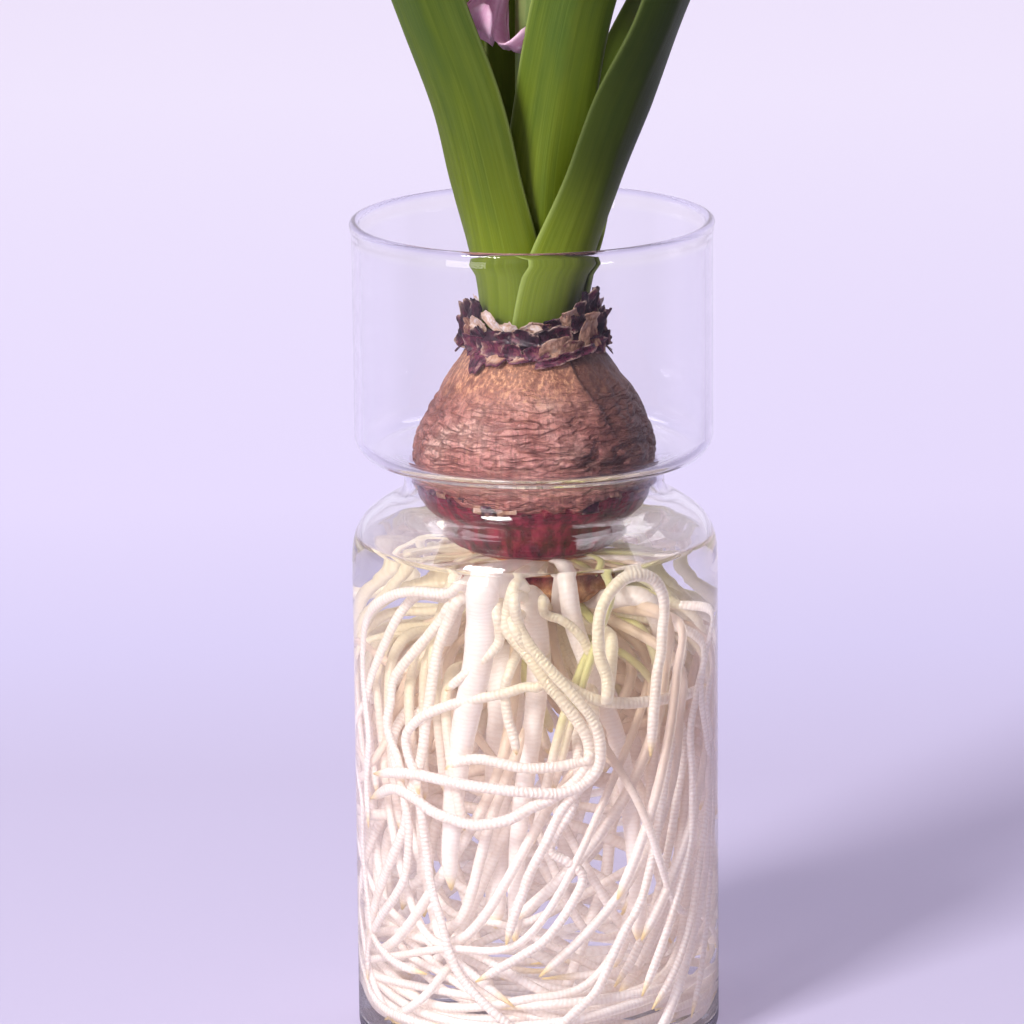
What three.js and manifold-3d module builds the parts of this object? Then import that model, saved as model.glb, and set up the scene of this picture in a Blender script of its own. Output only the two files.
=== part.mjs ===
// A pink hyacinth grown from its bulb in a two-tier forcing glass filled with water.
// Millimetres, +Z up. The origin is the middle of the glass's base, and -Y is the front.

import * as THREE from "three";
import { LoftGeometry } from "three/addons/geometries/LoftGeometry.js";
import { mergeVertices } from "three/addons/utils/BufferGeometryUtils.js";
import Module from "manifold-3d";

const wasm = await Module();
wasm.setup();

// ---- Driving dimensions ----

const GAP = 0.3; // clearance between pieces that rest on each other
const WELD = 1e-3; // vertices closer than this are one vertex
const ROUND_SIDES = 28; // sides of every turned piece

// Forcing glass
const VASE_HEIGHT = 187;
const BODY_RADIUS = 40.7;
const CUP_RADIUS = 39.8;
const WAIST_RADIUS = 28.85;
const WAIST_Z = 128.5;
const SHOULDER_Z = 111; // where the body wall starts to turn in
const CUP_FLOOR_Z = 134; // lowest point of the cup's outside
const GLASS = 1.8; // wall
const RIM_FLARE = 0.5;
const BASE_THICKNESS = 4;
const BASE_CORNER = 4;
const CUP_CORNER = 5.2;

// Water
const WATER_LEVEL = 115.5;
const WATER_SKIN = 2.2; // the solid is a liner with a plain hole that the roots stand in

// Bulb: outline from the basal plate up to the nose, as [radius, height]
const BULB_OUTLINE = [
  [12.6, 103.5], [14.4, 105.2], [15.2, 107.6], [17.6, 111], [21.8, 118], [25, 123.2],
  [26.5, 127], [27.05, 132], [26.8, 137], [25.6, 142], [23.1, 147], [19.6, 152.4],
  [16.2, 157], [13.9, 160], [13.2, 163.5],
];
const BULB_COLUMNS = 28;
const BULB_RIPPLE = 0.35; // depth of the long furrows above the waist
const SOCKET_RADIUS = 12.3; // the neck that the leaf bases stand in
const SOCKET_FLOOR_Z = 150;

// Leaves: midline points as [azimuth in degrees, radius, height, azimuth that the outside faces]
const LEAF_HALF_WIDTH = 9.8;
const SHEATH_HALF_WIDTH = 12.5; // half-width of an outer leaf's base
const INNER_SHEATH_HALF_WIDTH = 8.5;
const LEAF_THICKNESS = 1.05;
const LEAF_ROWS = 11;
const LEAF_COLUMNS = 5;
const BLADE_BEND = 17; // radius of the channel across a free blade
const LEAF_BASE_Z = SOCKET_FLOOR_Z + GAP;
const IMBRICATION = 1.35; // radial drop from one margin to the other, per radian of wrap
const OUTER_LEAVES = {
  leaf_left: [[-134, 10.3, LEAF_BASE_Z, -134], [-134, 10.6, 165, -134], [-132, 12.5, 181, -126],
    [-135, 20.8, 212, -118], [-138, 29.8, 235, -121], [-138, 43, 264, -126], [-138, 54, 300, -130]],
  leaf_right: [[-46, 10.3, LEAF_BASE_Z, -46], [-46, 10.7, 164, -46], [-42, 15.2, 181, -50],
    [-33, 24.8, 211, -48], [-31, 35.8, 235, -36], [-30, 47, 264, -34], [-30, 60, 296, -34]],
  leaf_back_right: [[45, 10.3, LEAF_BASE_Z, 45], [45, 10.7, 164, 45], [43, 15.2, 181, 44],
    [33, 23, 211, 26], [21, 29.8, 234, 12], [17, 39, 262, 10], [16, 50, 296, 12]],
  leaf_back_left: [[138, 10.4, LEAF_BASE_Z, 138], [138, 10.6, 166, 138], [140, 12.7, 181, 140],
    [141, 18.5, 211, 141], [144, 27, 235, 144], [146, 39.5, 262, 146], [146, 49, 302, 146]],
};
const INNER_LEAVES = {
  leaf_front: [[-75, 7.3, LEAF_BASE_Z, -75], [-75, 7.4, 172, -75], [-72, 9, 195, -80],
    [-65, 12.2, 213, -86], [-62, 19.8, 235, -84], [-63, 33, 258, -66], [-63, 42, 296, -63]],
  leaf_back: [[95, 7.3, LEAF_BASE_Z, 95], [95, 7.4, 172, 95], [95, 9, 195, 95], [95, 12.2, 213, 95],
    [95, 19.5, 235, 95], [95, 31, 260, 95], [95, 39, 290, 95]],
};

// Flower stalk and head
const STALK_RADIUS = 3.6;
const STALK_TOP_Z = 236;
const CORE_RADIUS = 3; // where the core stands on the stalk
const CORE_OUTLINE = [[9, 253], [11.5, 262], [12, 284], [9.5, 303], [5, 315]]; // [radius, height]
const HEAD_BASE_Z = 250; // lowest full round of florets
const HEAD_TOP_Z = 318;
const FLORETS = 24;
const GOLDEN_ANGLE = 137.508;
const DROOPING_FLORET = { azimuth: -136, z: 244, elevation: -56, size: 0.86, spin: 10 };

// Roots
const ROOT_CROWN_RADIUS = 13;
const ROOT_CROWN_Z = 101.2;
const ROOT_CROWN_HEIGHT = 2;
const ROOT_COUNT = 14;
const ROOT_RADIUS = 1.25;
const THICK_ROOTS = [ // [azimuth, radius at the wall side, lowest height]
  [-118, 15, 38], [-82, 17, 30], [-48, 22, 26], [60, 20, 34], [150, 22, 30],
];
const THICK_ROOT_RADIUS = 2.9;

// ---- Helpers ----

const radians = THREE.MathUtils.degToRad;
const lerp = THREE.MathUtils.lerp;
const smooth = (value, low, high) => THREE.MathUtils.smoothstep(value, low, high);

/** A seeded stream of numbers from 0 to 1. */
function stream(seed) {
  let state = seed;
  return () => {
    state = (state * 1664525 + 1013904223) % 4294967296;
    return state / 4294967296;
  };
}

/** The point at an azimuth in degrees, a radius and a height. */
function polar(azimuth, radius, z) {
  return new THREE.Vector3(radius * Math.cos(radians(azimuth)), radius * Math.sin(radians(azimuth)), z);
}

/** Keeps only the corners of a closed mesh: welded, with no collapsed triangle, facing out. */
function solid(geometry) {
  const bare = new THREE.BufferGeometry().copy(geometry);
  bare.deleteAttribute("normal");
  bare.deleteAttribute("uv");
  const welded = mergeVertices(bare, WELD);
  const at = welded.attributes.position;
  const corner = [0, 1, 2].map(() => new THREE.Vector3());
  const kept = [];
  let volume = 0;
  for (let i = 0; i < welded.index.count; i += 3) {
    const face = [0, 1, 2].map((k) => welded.index.getX(i + k));
    if (new Set(face).size < 3) continue;
    face.forEach((v, k) => corner[k].fromBufferAttribute(at, v));
    volume += corner[0].dot(corner[1].clone().cross(corner[2]));
    kept.push(...face);
  }
  if (volume < 0) kept.reverse();
  welded.setIndex(kept);
  return welded;
}

/** A closed mesh as a solid for joining and cutting. */
function toManifold(geometry) {
  const ready = solid(geometry);
  return new wasm.Manifold(new wasm.Mesh({
    numProp: 3,
    vertProperties: new Float32Array(ready.attributes.position.array),
    triVerts: new Uint32Array(ready.index.array),
  }));
}

/** A joined or cut solid as a geometry again. */
function toGeometry(manifold) {
  const mesh = manifold.getMesh();
  const geometry = new THREE.BufferGeometry();
  geometry.setAttribute("position", new THREE.BufferAttribute(new Float32Array(mesh.vertProperties), 3));
  geometry.setIndex(new THREE.BufferAttribute(new Uint32Array(mesh.triVerts), 1));
  return geometry;
}

/** One body from overlapping closed pieces, joined in pairs. */
function fuse(geometries) {
  let solids = geometries.map(toManifold);
  while (solids.length > 1) {
    const paired = [];
    for (let i = 0; i < solids.length; i += 2) {
      paired.push(i + 1 < solids.length ? solids[i].add(solids[i + 1]) : solids[i]);
    }
    solids = paired;
  }
  return toGeometry(solids[0]);
}

/** A turned piece about Z from a profile of [radius, height] points. */
function turned(profile, sides = ROUND_SIDES) {
  const points = profile.map(([r, z]) => new THREE.Vector2(r, z));
  return solid(new THREE.LatheGeometry(points, sides).rotateX(Math.PI / 2));
}

/** Points along an arc of [radius, height], both ends included. */
function arc(r, z, radius, from, to, steps) {
  const points = [];
  for (let i = 0; i <= steps; i++) {
    const angle = radians(lerp(from, to, i / steps));
    points.push([r + radius * Math.cos(angle), z + radius * Math.sin(angle)]);
  }
  return points;
}

/** A closed skin over a row of sections, each wound the way that turns the skin outwards. */
function loft(sections) {
  const middle = (ring) => ring.reduce((sum, p) => sum.add(p), new THREE.Vector3()).divideScalar(ring.length);
  const centre = middle(sections[0]);
  const along = middle(sections[1]).sub(centre);
  const facing = new THREE.Vector3();
  sections[0].forEach((p, i, ring) => {
    const next = ring[(i + 1) % ring.length].clone().sub(centre);
    facing.add(p.clone().sub(centre).cross(next));
  });
  const rings = facing.dot(along) < 0 ? sections.map((ring) => ring.slice().reverse()) : sections;
  return new LoftGeometry(rings, { capStart: true, capEnd: true });
}

/** A round stem along a curve, with its radius given from end to end by a function of 0 to 1. */
function stem(points, radiusAt, sides, rows) {
  const curve = new THREE.CatmullRomCurve3(points);
  const frames = curve.computeFrenetFrames(rows, false);
  const sections = [];
  for (let i = 0; i <= rows; i++) {
    const centre = curve.getPointAt(i / rows);
    const ring = [];
    for (let j = 0; j < sides; j++) {
      const angle = (j / sides) * 2 * Math.PI;
      ring.push(centre.clone()
        .addScaledVector(frames.normals[i], radiusAt(i / rows) * Math.cos(angle))
        .addScaledVector(frames.binormals[i], radiusAt(i / rows) * Math.sin(angle)));
    }
    sections.push(ring);
  }
  return loft(sections);
}

/** A flat strap: each row is {at, side, out, width, thickness}. */
function strap(rows) {
  const sections = rows.map(({ at, side, out, width, thickness }) =>
    [[-1, 1], [1, 1], [1, -1], [-1, -1]].map(([s, o]) => at.clone()
      .addScaledVector(side, (s * width) / 2)
      .addScaledVector(out, (o * thickness) / 2)));
  return loft(sections);
}

// ---- Forcing glass and water ----

/** The outside of the glass above its base corner, up to the rim. */
function wallOutline() {
  return [
    [BODY_RADIUS, BASE_CORNER],
    [BODY_RADIUS, SHOULDER_Z],
    [BODY_RADIUS - 0.6, SHOULDER_Z + 4.6],
    [BODY_RADIUS - 2.6, SHOULDER_Z + 8.4],
    [BODY_RADIUS - 6.4, SHOULDER_Z + 11.4],
    [WAIST_RADIUS + 1.6, WAIST_Z - 4],
    [WAIST_RADIUS + 0.3, WAIST_Z - 2],
    [WAIST_RADIUS, WAIST_Z],
    [WAIST_RADIUS + 0.4, WAIST_Z + 2.2],
    [WAIST_RADIUS + 1.8, WAIST_Z + 4],
    ...arc(CUP_RADIUS - CUP_CORNER, CUP_FLOOR_Z + CUP_CORNER, CUP_CORNER, -90, 0, 3),
    [CUP_RADIUS, VASE_HEIGHT - 6],
  ];
}

/** The same line moved inwards by a wall thickness. */
function offsetOutline(outline, distance) {
  return outline.map(([r, z], i) => {
    const before = outline[Math.max(i - 1, 0)];
    const after = outline[Math.min(i + 1, outline.length - 1)];
    const along = new THREE.Vector2(after[0] - before[0], after[1] - before[1]).normalize();
    return [r - distance * along.y, z + distance * along.x];
  });
}

function vase() {
  const outside = wallOutline();
  const inside = offsetOutline(outside, GLASS).filter(([, z]) => z > BASE_THICKNESS + BASE_CORNER);
  const lip = GLASS / 2;
  return turned([
    [0, 0],
    ...arc(BODY_RADIUS - BASE_CORNER, BASE_CORNER, BASE_CORNER, -90, -15, 3),
    ...outside,
    ...arc(CUP_RADIUS + RIM_FLARE - lip, VASE_HEIGHT - lip, lip, 0, 180, 3),
    ...inside.reverse(),
    [BODY_RADIUS - GLASS, BASE_THICKNESS + BASE_CORNER],
    [BODY_RADIUS - GLASS - 1, BASE_THICKNESS + 1.2],
    [BODY_RADIUS - GLASS - BASE_CORNER, BASE_THICKNESS],
    [0, BASE_THICKNESS],
  ]);
}

function water() {
  const outer = BODY_RADIUS - GLASS - GAP;
  const hole = outer - WATER_SKIN;
  const bottom = BASE_THICKNESS + GAP;
  const bed = bottom + WATER_SKIN + 2;
  return turned([
    [0, bottom],
    [outer - BASE_CORNER, bottom],
    [outer - 1, bottom + 1.4],
    [outer, bottom + BASE_CORNER],
    [outer, SHOULDER_Z - 1],
    [outer - 0.7, WATER_LEVEL],
    [hole, WATER_LEVEL],
    [hole, bed],
    [0, bed],
  ]);
}

// ---- Bulb, neck scales ----

/** The bulb's radius at a height, before its furrows. */
function bulbRadius(z) {
  const above = BULB_OUTLINE.findIndex(([, height]) => height >= z);
  if (above <= 0) return BULB_OUTLINE[0][0];
  const [r0, z0] = BULB_OUTLINE[above - 1];
  const [r1, z1] = BULB_OUTLINE[above];
  return lerp(r0, r1, (z - z0) / (z1 - z0));
}

function bulb() {
  const sections = BULB_OUTLINE.map(([radius, z]) => {
    const ripple = BULB_RIPPLE * smooth(z, 135, 142) * (1 - smooth(z, 154, 159));
    const ring = [];
    for (let i = 0; i < BULB_COLUMNS; i++) {
      const azimuth = (360 * i) / BULB_COLUMNS;
      const furrow = Math.sin(radians(5 * azimuth + 3 * z)) - 1;
      ring.push(polar(azimuth, radius + ripple * furrow, z));
    }
    return ring;
  });
  const body = toManifold(loft(sections));
  const socket = turned([[0, SOCKET_FLOOR_Z], [SOCKET_RADIUS, SOCKET_FLOOR_Z],
    [SOCKET_RADIUS, VASE_HEIGHT], [0, VASE_HEIGHT]]);
  return toGeometry(body.subtract(toManifold(socket)));
}

/** One dry scale round the neck: upright from the ring, its top cut ragged. */
function neckScale(azimuth, radius, bottom, top, width, flare) {
  const side = polar(azimuth + 90, 1, 0);
  const out = polar(azimuth, 1, 0);
  const row = (share, r) => ({ at: polar(azimuth, r, lerp(bottom, top, share)), side, out,
    width: width * (share < 1 ? 1 : 0.45), thickness: 0.8 });
  return strap([row(0, radius), row(0.55, radius + flare * 0.3), row(1, radius + flare)]);
}

/** A torn flap of old skin that lies down over the bulb's shoulder. */
function shoulderFlap(azimuth, bottom, width) {
  const side = polar(azimuth + 90, 1, 0);
  const heights = [162.4, 159.6, lerp(159.6, bottom, 0.6), bottom];
  return strap(heights.map((z, i) => {
    const slope = new THREE.Vector2(bulbRadius(z - 1) - bulbRadius(z + 1), 2).normalize();
    const out = polar(azimuth, slope.y, slope.x);
    return { at: polar(azimuth, bulbRadius(z), z).addScaledVector(out, 1.1), side, out,
      width: width * (i < 3 ? 1 : 0.3), thickness: 0.7 };
  }));
}

function neckScales() {
  const next = stream(11);
  const ring = turned([[14.1, 161.6], [15.5, 161.6], [15.5, 165.4], [14.1, 165.8],
    [14.1, 161.6]], 20);
  const scales = [];
  const count = 11;
  for (let i = 0; i < count; i++) {
    const azimuth = -100 + (360 * i) / count + 8 * (next() - 0.5);
    const tall = 167 + 4.5 * next();
    scales.push(neckScale(azimuth, 14.9, 161.9, tall, 5.5 + 2 * next(), 0.6 + 1.2 * next()));
  }
  const flaps = [[-110, 151.5, 8], [-75, 154.5, 7], [-20, 155, 8], [60, 154, 9], [160, 153.5, 9]]
    .map((flap) => shoulderFlap(...flap));
  return fuse([ring, ...scales, ...flaps]);
}

// ---- Leaves ----

/** The azimuth that a leaf's outside faces at a height. */
function facingAt(midline, height) {
  const above = midline.findIndex(([, , z]) => z >= height);
  if (above <= 0) return midline.at(above)[3];
  const [, , z0, facing0] = midline[above - 1];
  const [, , z1, facing1] = midline[above];
  return lerp(facing0, facing1, smooth(height, z0, z1));
}

/** A channelled strap leaf: sheathing at the base, flatter above, with a blunt hooded tip. */
function leaf(midline, baseHalfWidth, imbrication) {
  const curve = new THREE.CatmullRomCurve3(midline.map(([azimuth, r, z]) => polar(azimuth, r, z)));
  const sections = [];
  for (let i = 0; i <= LEAF_ROWS; i++) {
    const t = i / LEAF_ROWS;
    const centre = curve.getPointAt(t);
    const along = curve.getTangentAt(t);
    const out = polar(facingAt(midline, centre.z), 1, 0);
    out.addScaledVector(along, -out.dot(along)).normalize();
    const side = new THREE.Vector3().crossVectors(along, out);
    const sheath = smooth(centre.z, 168, 200);
    const tip = Math.sqrt(1 - smooth(t, 0.72, 1.02) ** 2);
    const halfWidth = lerp(baseHalfWidth, LEAF_HALF_WIDTH, sheath) * tip;
    const bend = lerp(midline[0][1], BLADE_BEND, smooth(centre.z, 172, 225));
    const drop = imbrication * (1 - smooth(centre.z, 196, 214));
    const thickness = LEAF_THICKNESS * (1 - 0.3 * smooth(t, 0.5, 1));
    const wrap = halfWidth / bend;
    const edge = (share, depth) => {
      const angle = share * wrap;
      const reach = bend - depth - drop * angle;
      return centre.clone()
        .addScaledVector(side, reach * Math.sin(angle))
        .addScaledVector(out, reach * Math.cos(angle) - bend);
    };
    const shares = Array.from({ length: LEAF_COLUMNS + 1 }, (_, k) => (2 * k) / LEAF_COLUMNS - 1);
    sections.push([
      ...shares.map((share) => edge(share, 0)),
      ...shares.reverse().map((share) => edge(share, thickness * (1 - 0.3 * share * share))),
    ]);
  }
  return solid(loft(sections));
}

// ---- Flower ----

function flowerStalk() {
  return solid(stem([polar(0, 0, LEAF_BASE_Z), polar(0, 0, 200), polar(0, 0, STALK_TOP_Z)],
    (t) => STALK_RADIUS * (1 - 0.1 * t), 10, 3));
}

/** One floret: a waisted tube on a short stalk, opening into six lobes that curl back. */
function floret(azimuth, z, elevation, size, spin) {
  const axis = polar(azimuth, Math.cos(radians(elevation)), Math.sin(radians(elevation)));
  const side = polar(azimuth + 90, 1, 0);
  const up = new THREE.Vector3().crossVectors(axis, side);
  const root = polar(azimuth, 1.2, z);
  const place = (r, angle, length) => root.clone()
    .addScaledVector(axis, length * size)
    .addScaledVector(side, r * size * Math.cos(radians(angle)))
    .addScaledVector(up, r * size * Math.sin(radians(angle)));
  const tube = [[1.4, 0], [1.8, 9], [3.7, 19.5]].map(([r, length]) =>
    [30, 90, 150, 210, 270, 330].map((angle) => place(r, angle + spin, length)));
  const pieces = [loft(tube)];
  for (let i = 0; i < 6; i++) {
    const angle = spin + 60 * i;
    const outward = place(1, angle, 0).sub(place(0, 0, 0)).normalize();
    const across = place(1, angle + 90, 0).sub(place(0, 0, 0)).normalize();
    const reach = i % 2 ? 1 : 0.94;
    const lobe = [[1.9, 16.5, 1.8], [6.8, 23.6, 6], [11.2, 20.4, 2.6]];
    pieces.push(strap(lobe.map(([r, length, width], k) => {
      const tilt = [33, 80, 125][k];
      return { at: place(r * reach, angle, length * reach + (1 - reach) * 16), side: across,
        out: outward.clone().multiplyScalar(Math.cos(radians(tilt)))
          .addScaledVector(axis, -Math.sin(radians(tilt))),
        width: width * size, thickness: 0.85 };
    })));
  }
  return pieces;
}

function flowerHead() {
  const next = stream(5);
  const core = turned([[0, STALK_TOP_Z + GAP], [CORE_RADIUS, STALK_TOP_Z + GAP],
    [CORE_RADIUS, 249], ...CORE_OUTLINE, [0, HEAD_TOP_Z]], 10);
  const { azimuth, z, elevation, size } = DROOPING_FLORET;
  const pieces = [core, ...floret(azimuth, z, elevation, size, DROOPING_FLORET.spin)];
  for (let i = 0; i < FLORETS; i++) {
    const share = i / (FLORETS - 1);
    pieces.push(...floret(
      azimuth + (i + 1) * GOLDEN_ANGLE,
      lerp(HEAD_BASE_Z, HEAD_TOP_Z - 2, share ** 0.92),
      lerp(4, 24, share) + 52 * smooth(share, 0.72, 1) + 8 * (next() - 0.5),
      lerp(1, 0.72, smooth(share, 0.5, 1)),
      60 * next(),
    ));
  }
  return fuse(pieces);
}

// ---- Roots ----

/** A thin root: out from the crown, over and down to the glass, then round the wall. */
function thinRoot(next) {
  const azimuth = 360 * next();
  const start = 5 + 6 * next();
  const wall = 24 + 9.5 * next();
  const turn = (next() < 0.5 ? -1 : 1) * (60 + 190 * next());
  const low = 11 + 55 * next() ** 1.6;
  const steps = 8;
  const points = [polar(azimuth, start, ROOT_CROWN_Z + 0.8)];
  for (let i = 1; i <= steps; i++) {
    const t = i / steps;
    points.push(polar(
      azimuth + turn * t ** 1.3,
      lerp(start, wall, smooth(t, 0, 0.35)) + 1.4 * Math.sin(9 * t + azimuth),
      lerp(ROOT_CROWN_Z - 4, low, t ** 0.9) + 4 * Math.sin(7 * t + start),
    ));
  }
  return stem(points, (t) => ROOT_RADIUS * (1 - 0.3 * t), 5, 11);
}

/** A thick root: straight down from the crown to a blunt tip. */
function thickRoot([azimuth, reach, low]) {
  const points = [polar(azimuth, 9, ROOT_CROWN_Z + 0.8), polar(azimuth, reach * 0.85, 88),
    polar(azimuth + 4, reach, 66), polar(azimuth + 2, reach * 0.96, low)];
  return stem(points, (t) => THICK_ROOT_RADIUS * Math.sqrt(1 - 0.9 * t * t) * (0.75 + 0.5 * t), 6, 6);
}

function roots() {
  const next = stream(23);
  const crown = turned([[0, ROOT_CROWN_Z], [ROOT_CROWN_RADIUS, ROOT_CROWN_Z],
    [ROOT_CROWN_RADIUS, ROOT_CROWN_Z + ROOT_CROWN_HEIGHT], [0, ROOT_CROWN_Z + ROOT_CROWN_HEIGHT]], 18);
  const pieces = [crown, ...THICK_ROOTS.map(thickRoot)];
  for (let i = 0; i < ROOT_COUNT; i++) pieces.push(thinRoot(next));
  return fuse(pieces);
}

// ---- Assembly ----

const finishes = {
  clear_glass: { color: "#e6eaf4", roughness: 0.04, metalness: 0 },
  clear_water: { color: "#dfe9f2", roughness: 0.05, metalness: 0 },
  papery_tunic: { color: "#a9705f", roughness: 0.62, metalness: 0 },
  dry_scale: { color: "#4a2c33", roughness: 0.75, metalness: 0 },
  leaf_green: { color: "#587a2a", roughness: 0.42, metalness: 0 },
  stalk_green: { color: "#8fae56", roughness: 0.45, metalness: 0 },
  petal_pink: { color: "#dc9cc0", roughness: 0.5, metalness: 0 },
  root_white: { color: "#f0e6dc", roughness: 0.45, metalness: 0 },
};

const plant = new THREE.Group();

function add(name, geometry, finish) {
  const mesh = new THREE.Mesh(geometry, new THREE.MeshStandardMaterial(finishes[finish]));
  mesh.name = name;
  plant.add(mesh);
}

add("vase", vase(), "clear_glass");
add("water", water(), "clear_water");
add("bulb", bulb(), "papery_tunic");
add("neck_scales", neckScales(), "dry_scale");
for (const [name, midline] of Object.entries(OUTER_LEAVES)) {
  add(name, leaf(midline, SHEATH_HALF_WIDTH, IMBRICATION), "leaf_green");
}
for (const [name, midline] of Object.entries(INNER_LEAVES)) {
  add(name, leaf(midline, INNER_SHEATH_HALF_WIDTH, 0), "leaf_green");
}
add("flower_stalk", flowerStalk(), "stalk_green");
add("flower_head", flowerHead(), "petal_pink");
add("roots", roots(), "root_white");

export default plant;
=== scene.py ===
"""A pink hyacinth grown from its bulb in a two-tier forcing glass, with its roots in the water.

Sizes named in millimetres are turned into metres by MM where a mesh is made. -Y is the front.
"""

import math
import random

import bmesh
import bpy
from mathutils import Matrix, Vector, noise


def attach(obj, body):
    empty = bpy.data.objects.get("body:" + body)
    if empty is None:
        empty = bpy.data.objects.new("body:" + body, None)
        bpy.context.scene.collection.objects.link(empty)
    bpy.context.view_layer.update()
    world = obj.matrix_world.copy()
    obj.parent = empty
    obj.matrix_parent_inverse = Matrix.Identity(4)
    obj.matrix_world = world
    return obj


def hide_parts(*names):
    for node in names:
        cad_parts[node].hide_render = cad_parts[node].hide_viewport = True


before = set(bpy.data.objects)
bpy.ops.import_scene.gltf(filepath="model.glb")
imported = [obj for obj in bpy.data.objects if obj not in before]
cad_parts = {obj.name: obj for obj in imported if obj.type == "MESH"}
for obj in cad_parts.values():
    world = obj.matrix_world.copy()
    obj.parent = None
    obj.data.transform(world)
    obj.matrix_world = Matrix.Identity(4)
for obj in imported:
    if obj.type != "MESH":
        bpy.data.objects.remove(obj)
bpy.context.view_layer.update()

MM = 0.001
UP = Vector((0, 0, 1))
scene = bpy.context.scene
noise.seed_set(11)  # or noise_vector would follow the clock, and the bulb differ from run to run

# ---- Camera: the photograph's place, aim and lens ----

PICTURE_SIDE = 1024
SENSOR = 36.0
LENS = 227.6  # with the sensor, in millimetres
CAMERA_AT = Vector((0, -1397.5, 464.0)) * MM
CAMERA_PITCH = math.radians(13.81)
CAMERA_YAW = math.radians(-0.205)
CAMERA_ROLL = math.radians(-0.562)


def camera_axes():
    """The picture's right, up and forward directions."""
    forward = Vector((
        math.sin(CAMERA_YAW) * math.cos(CAMERA_PITCH),
        math.cos(CAMERA_YAW) * math.cos(CAMERA_PITCH),
        -math.sin(CAMERA_PITCH),
    ))
    level = forward.cross(UP).normalized()
    rise = level.cross(forward)
    right = level * math.cos(CAMERA_ROLL) + rise * math.sin(CAMERA_ROLL)
    up = rise * math.cos(CAMERA_ROLL) - level * math.sin(CAMERA_ROLL)
    return right, up, forward


def add_camera():
    right, up, forward = camera_axes()
    data = bpy.data.cameras.new("camera")
    data.lens = LENS
    data.sensor_width = SENSOR
    data.clip_end = 50
    camera = bpy.data.objects.new("camera", data)
    camera.matrix_world = Matrix.Translation(CAMERA_AT) @ Matrix((right, up, -forward)).transposed().to_4x4()
    scene.collection.objects.link(camera)
    scene.camera = camera


# ---- Sizes of the glass, the water and the bulb, in millimetres ----

VASE_HEIGHT = 187
BODY_RADIUS = 40.7
CUP_RADIUS = 39.8
WAIST_RADIUS = 28.85
WAIST_Z = 128.5
SHOULDER_Z = 111
CUP_FLOOR_Z = 134
GLASS = 1.8
BASE_THICKNESS = 4
BASE_CORNER = 4
CUP_CORNER = 5.2
LIP = 1.15  # radius of the fire-polished rim
WATER_LEVEL = 115.5
WATER_BITE = 0.05  # the water reaches this far into the glass, so that no film of air lies between
BULB_OUTLINE = [
    (0, 103.6), (9, 103.5), (12.6, 103.9), (14.4, 105.4), (15.2, 107.6), (17.6, 111), (21.8, 118),
    (25, 123.2), (26.5, 127), (27.05, 132), (26.8, 137), (25.6, 142), (23.1, 147), (19.6, 152.4),
    (16.2, 157), (14.0, 160), (13.1, 163.4), (12.5, 163.8), (12.2, 162), (12.1, 156), (6, 155.8), (0, 156),
]
CROWN_Z = 103  # the roots start inside the basal plate

# ---- Curves and meshes ----


def smoothstep(value, low, high):
    t = min(max((value - low) / (high - low), 0.0), 1.0)
    return t * t * (3 - 2 * t)


def lerp(a, b, t):
    return a + (b - a) * t


def polar(azimuth, radius, z):
    """The point at an azimuth in degrees, a radius and a height."""
    angle = math.radians(azimuth)
    return Vector((radius * math.cos(angle), radius * math.sin(angle), z))


def smooth_line(points, per_span):
    """A Catmull-Rom curve through points, with per_span steps between each two."""
    points = [Vector(p) for p in points]
    ends = [points[0] * 2 - points[1], *points, points[-1] * 2 - points[-2]]
    line = []
    for a, b, c, d in zip(ends, ends[1:], ends[2:], ends[3:]):
        for k in range(per_span):
            t = k / per_span
            line.append(0.5 * (2 * b + (c - a) * t + (2 * a - 5 * b + 4 * c - d) * t ** 2
                               + (3 * b - a - 3 * c + d) * t ** 3))
    line.append(points[-1])
    return line


def even_line(points, spacing):
    """The same curve with its points an even distance apart."""
    line = smooth_line(points, 12)
    evened = [line[0]]
    travelled = 0.0
    for a, b in zip(line, line[1:]):
        step = (b - a).length
        while travelled + step >= spacing:
            a = a.lerp(b, (spacing - travelled) / step)
            step = (b - a).length
            travelled = 0.0
            evened.append(a)
        travelled += step
    return evened


def arc(r, z, radius, start, end, steps):
    """Points of [radius, height] along an arc, with angles in degrees."""
    angles = [math.radians(lerp(start, end, i / steps)) for i in range(steps + 1)]
    return [(r + radius * math.cos(a), z + radius * math.sin(a)) for a in angles]


def turned(profile, steps):
    """A closed turned mesh from a profile in millimetres that starts and ends on the axis."""
    bm = bmesh.new()
    verts = [bm.verts.new((max(r, 0) * MM, 0, z * MM)) for r, z in profile]
    edges = [bm.edges.new(pair) for pair in zip(verts, verts[1:])]
    bmesh.ops.spin(bm, geom=verts + edges, cent=(0, 0, 0), axis=UP, dvec=(0, 0, 0),
                   angle=2 * math.pi, steps=steps, use_merge=True)
    bmesh.ops.remove_doubles(bm, verts=bm.verts, dist=1e-6)
    bmesh.ops.recalc_face_normals(bm, faces=bm.faces)
    return bm


def piece(name, bm, material, nodes=()):
    """A smooth mesh object from a bmesh, riding on the one body."""
    mesh = bpy.data.meshes.new(name)
    bm.to_mesh(mesh)
    bm.free()
    for polygon in mesh.polygons:
        polygon.use_smooth = True
    mesh.materials.append(material)
    made = bpy.data.objects.new(name, mesh)
    scene.collection.objects.link(made)
    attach(made, "root")
    if nodes:
        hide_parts(*nodes)
    return made


def subdivide(made):
    """Rounds a thin piece off by one level of subdivision."""
    modifier = made.modifiers.new("subdivision", "SUBSURF")
    modifier.levels = 1
    modifier.render_levels = 1


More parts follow.
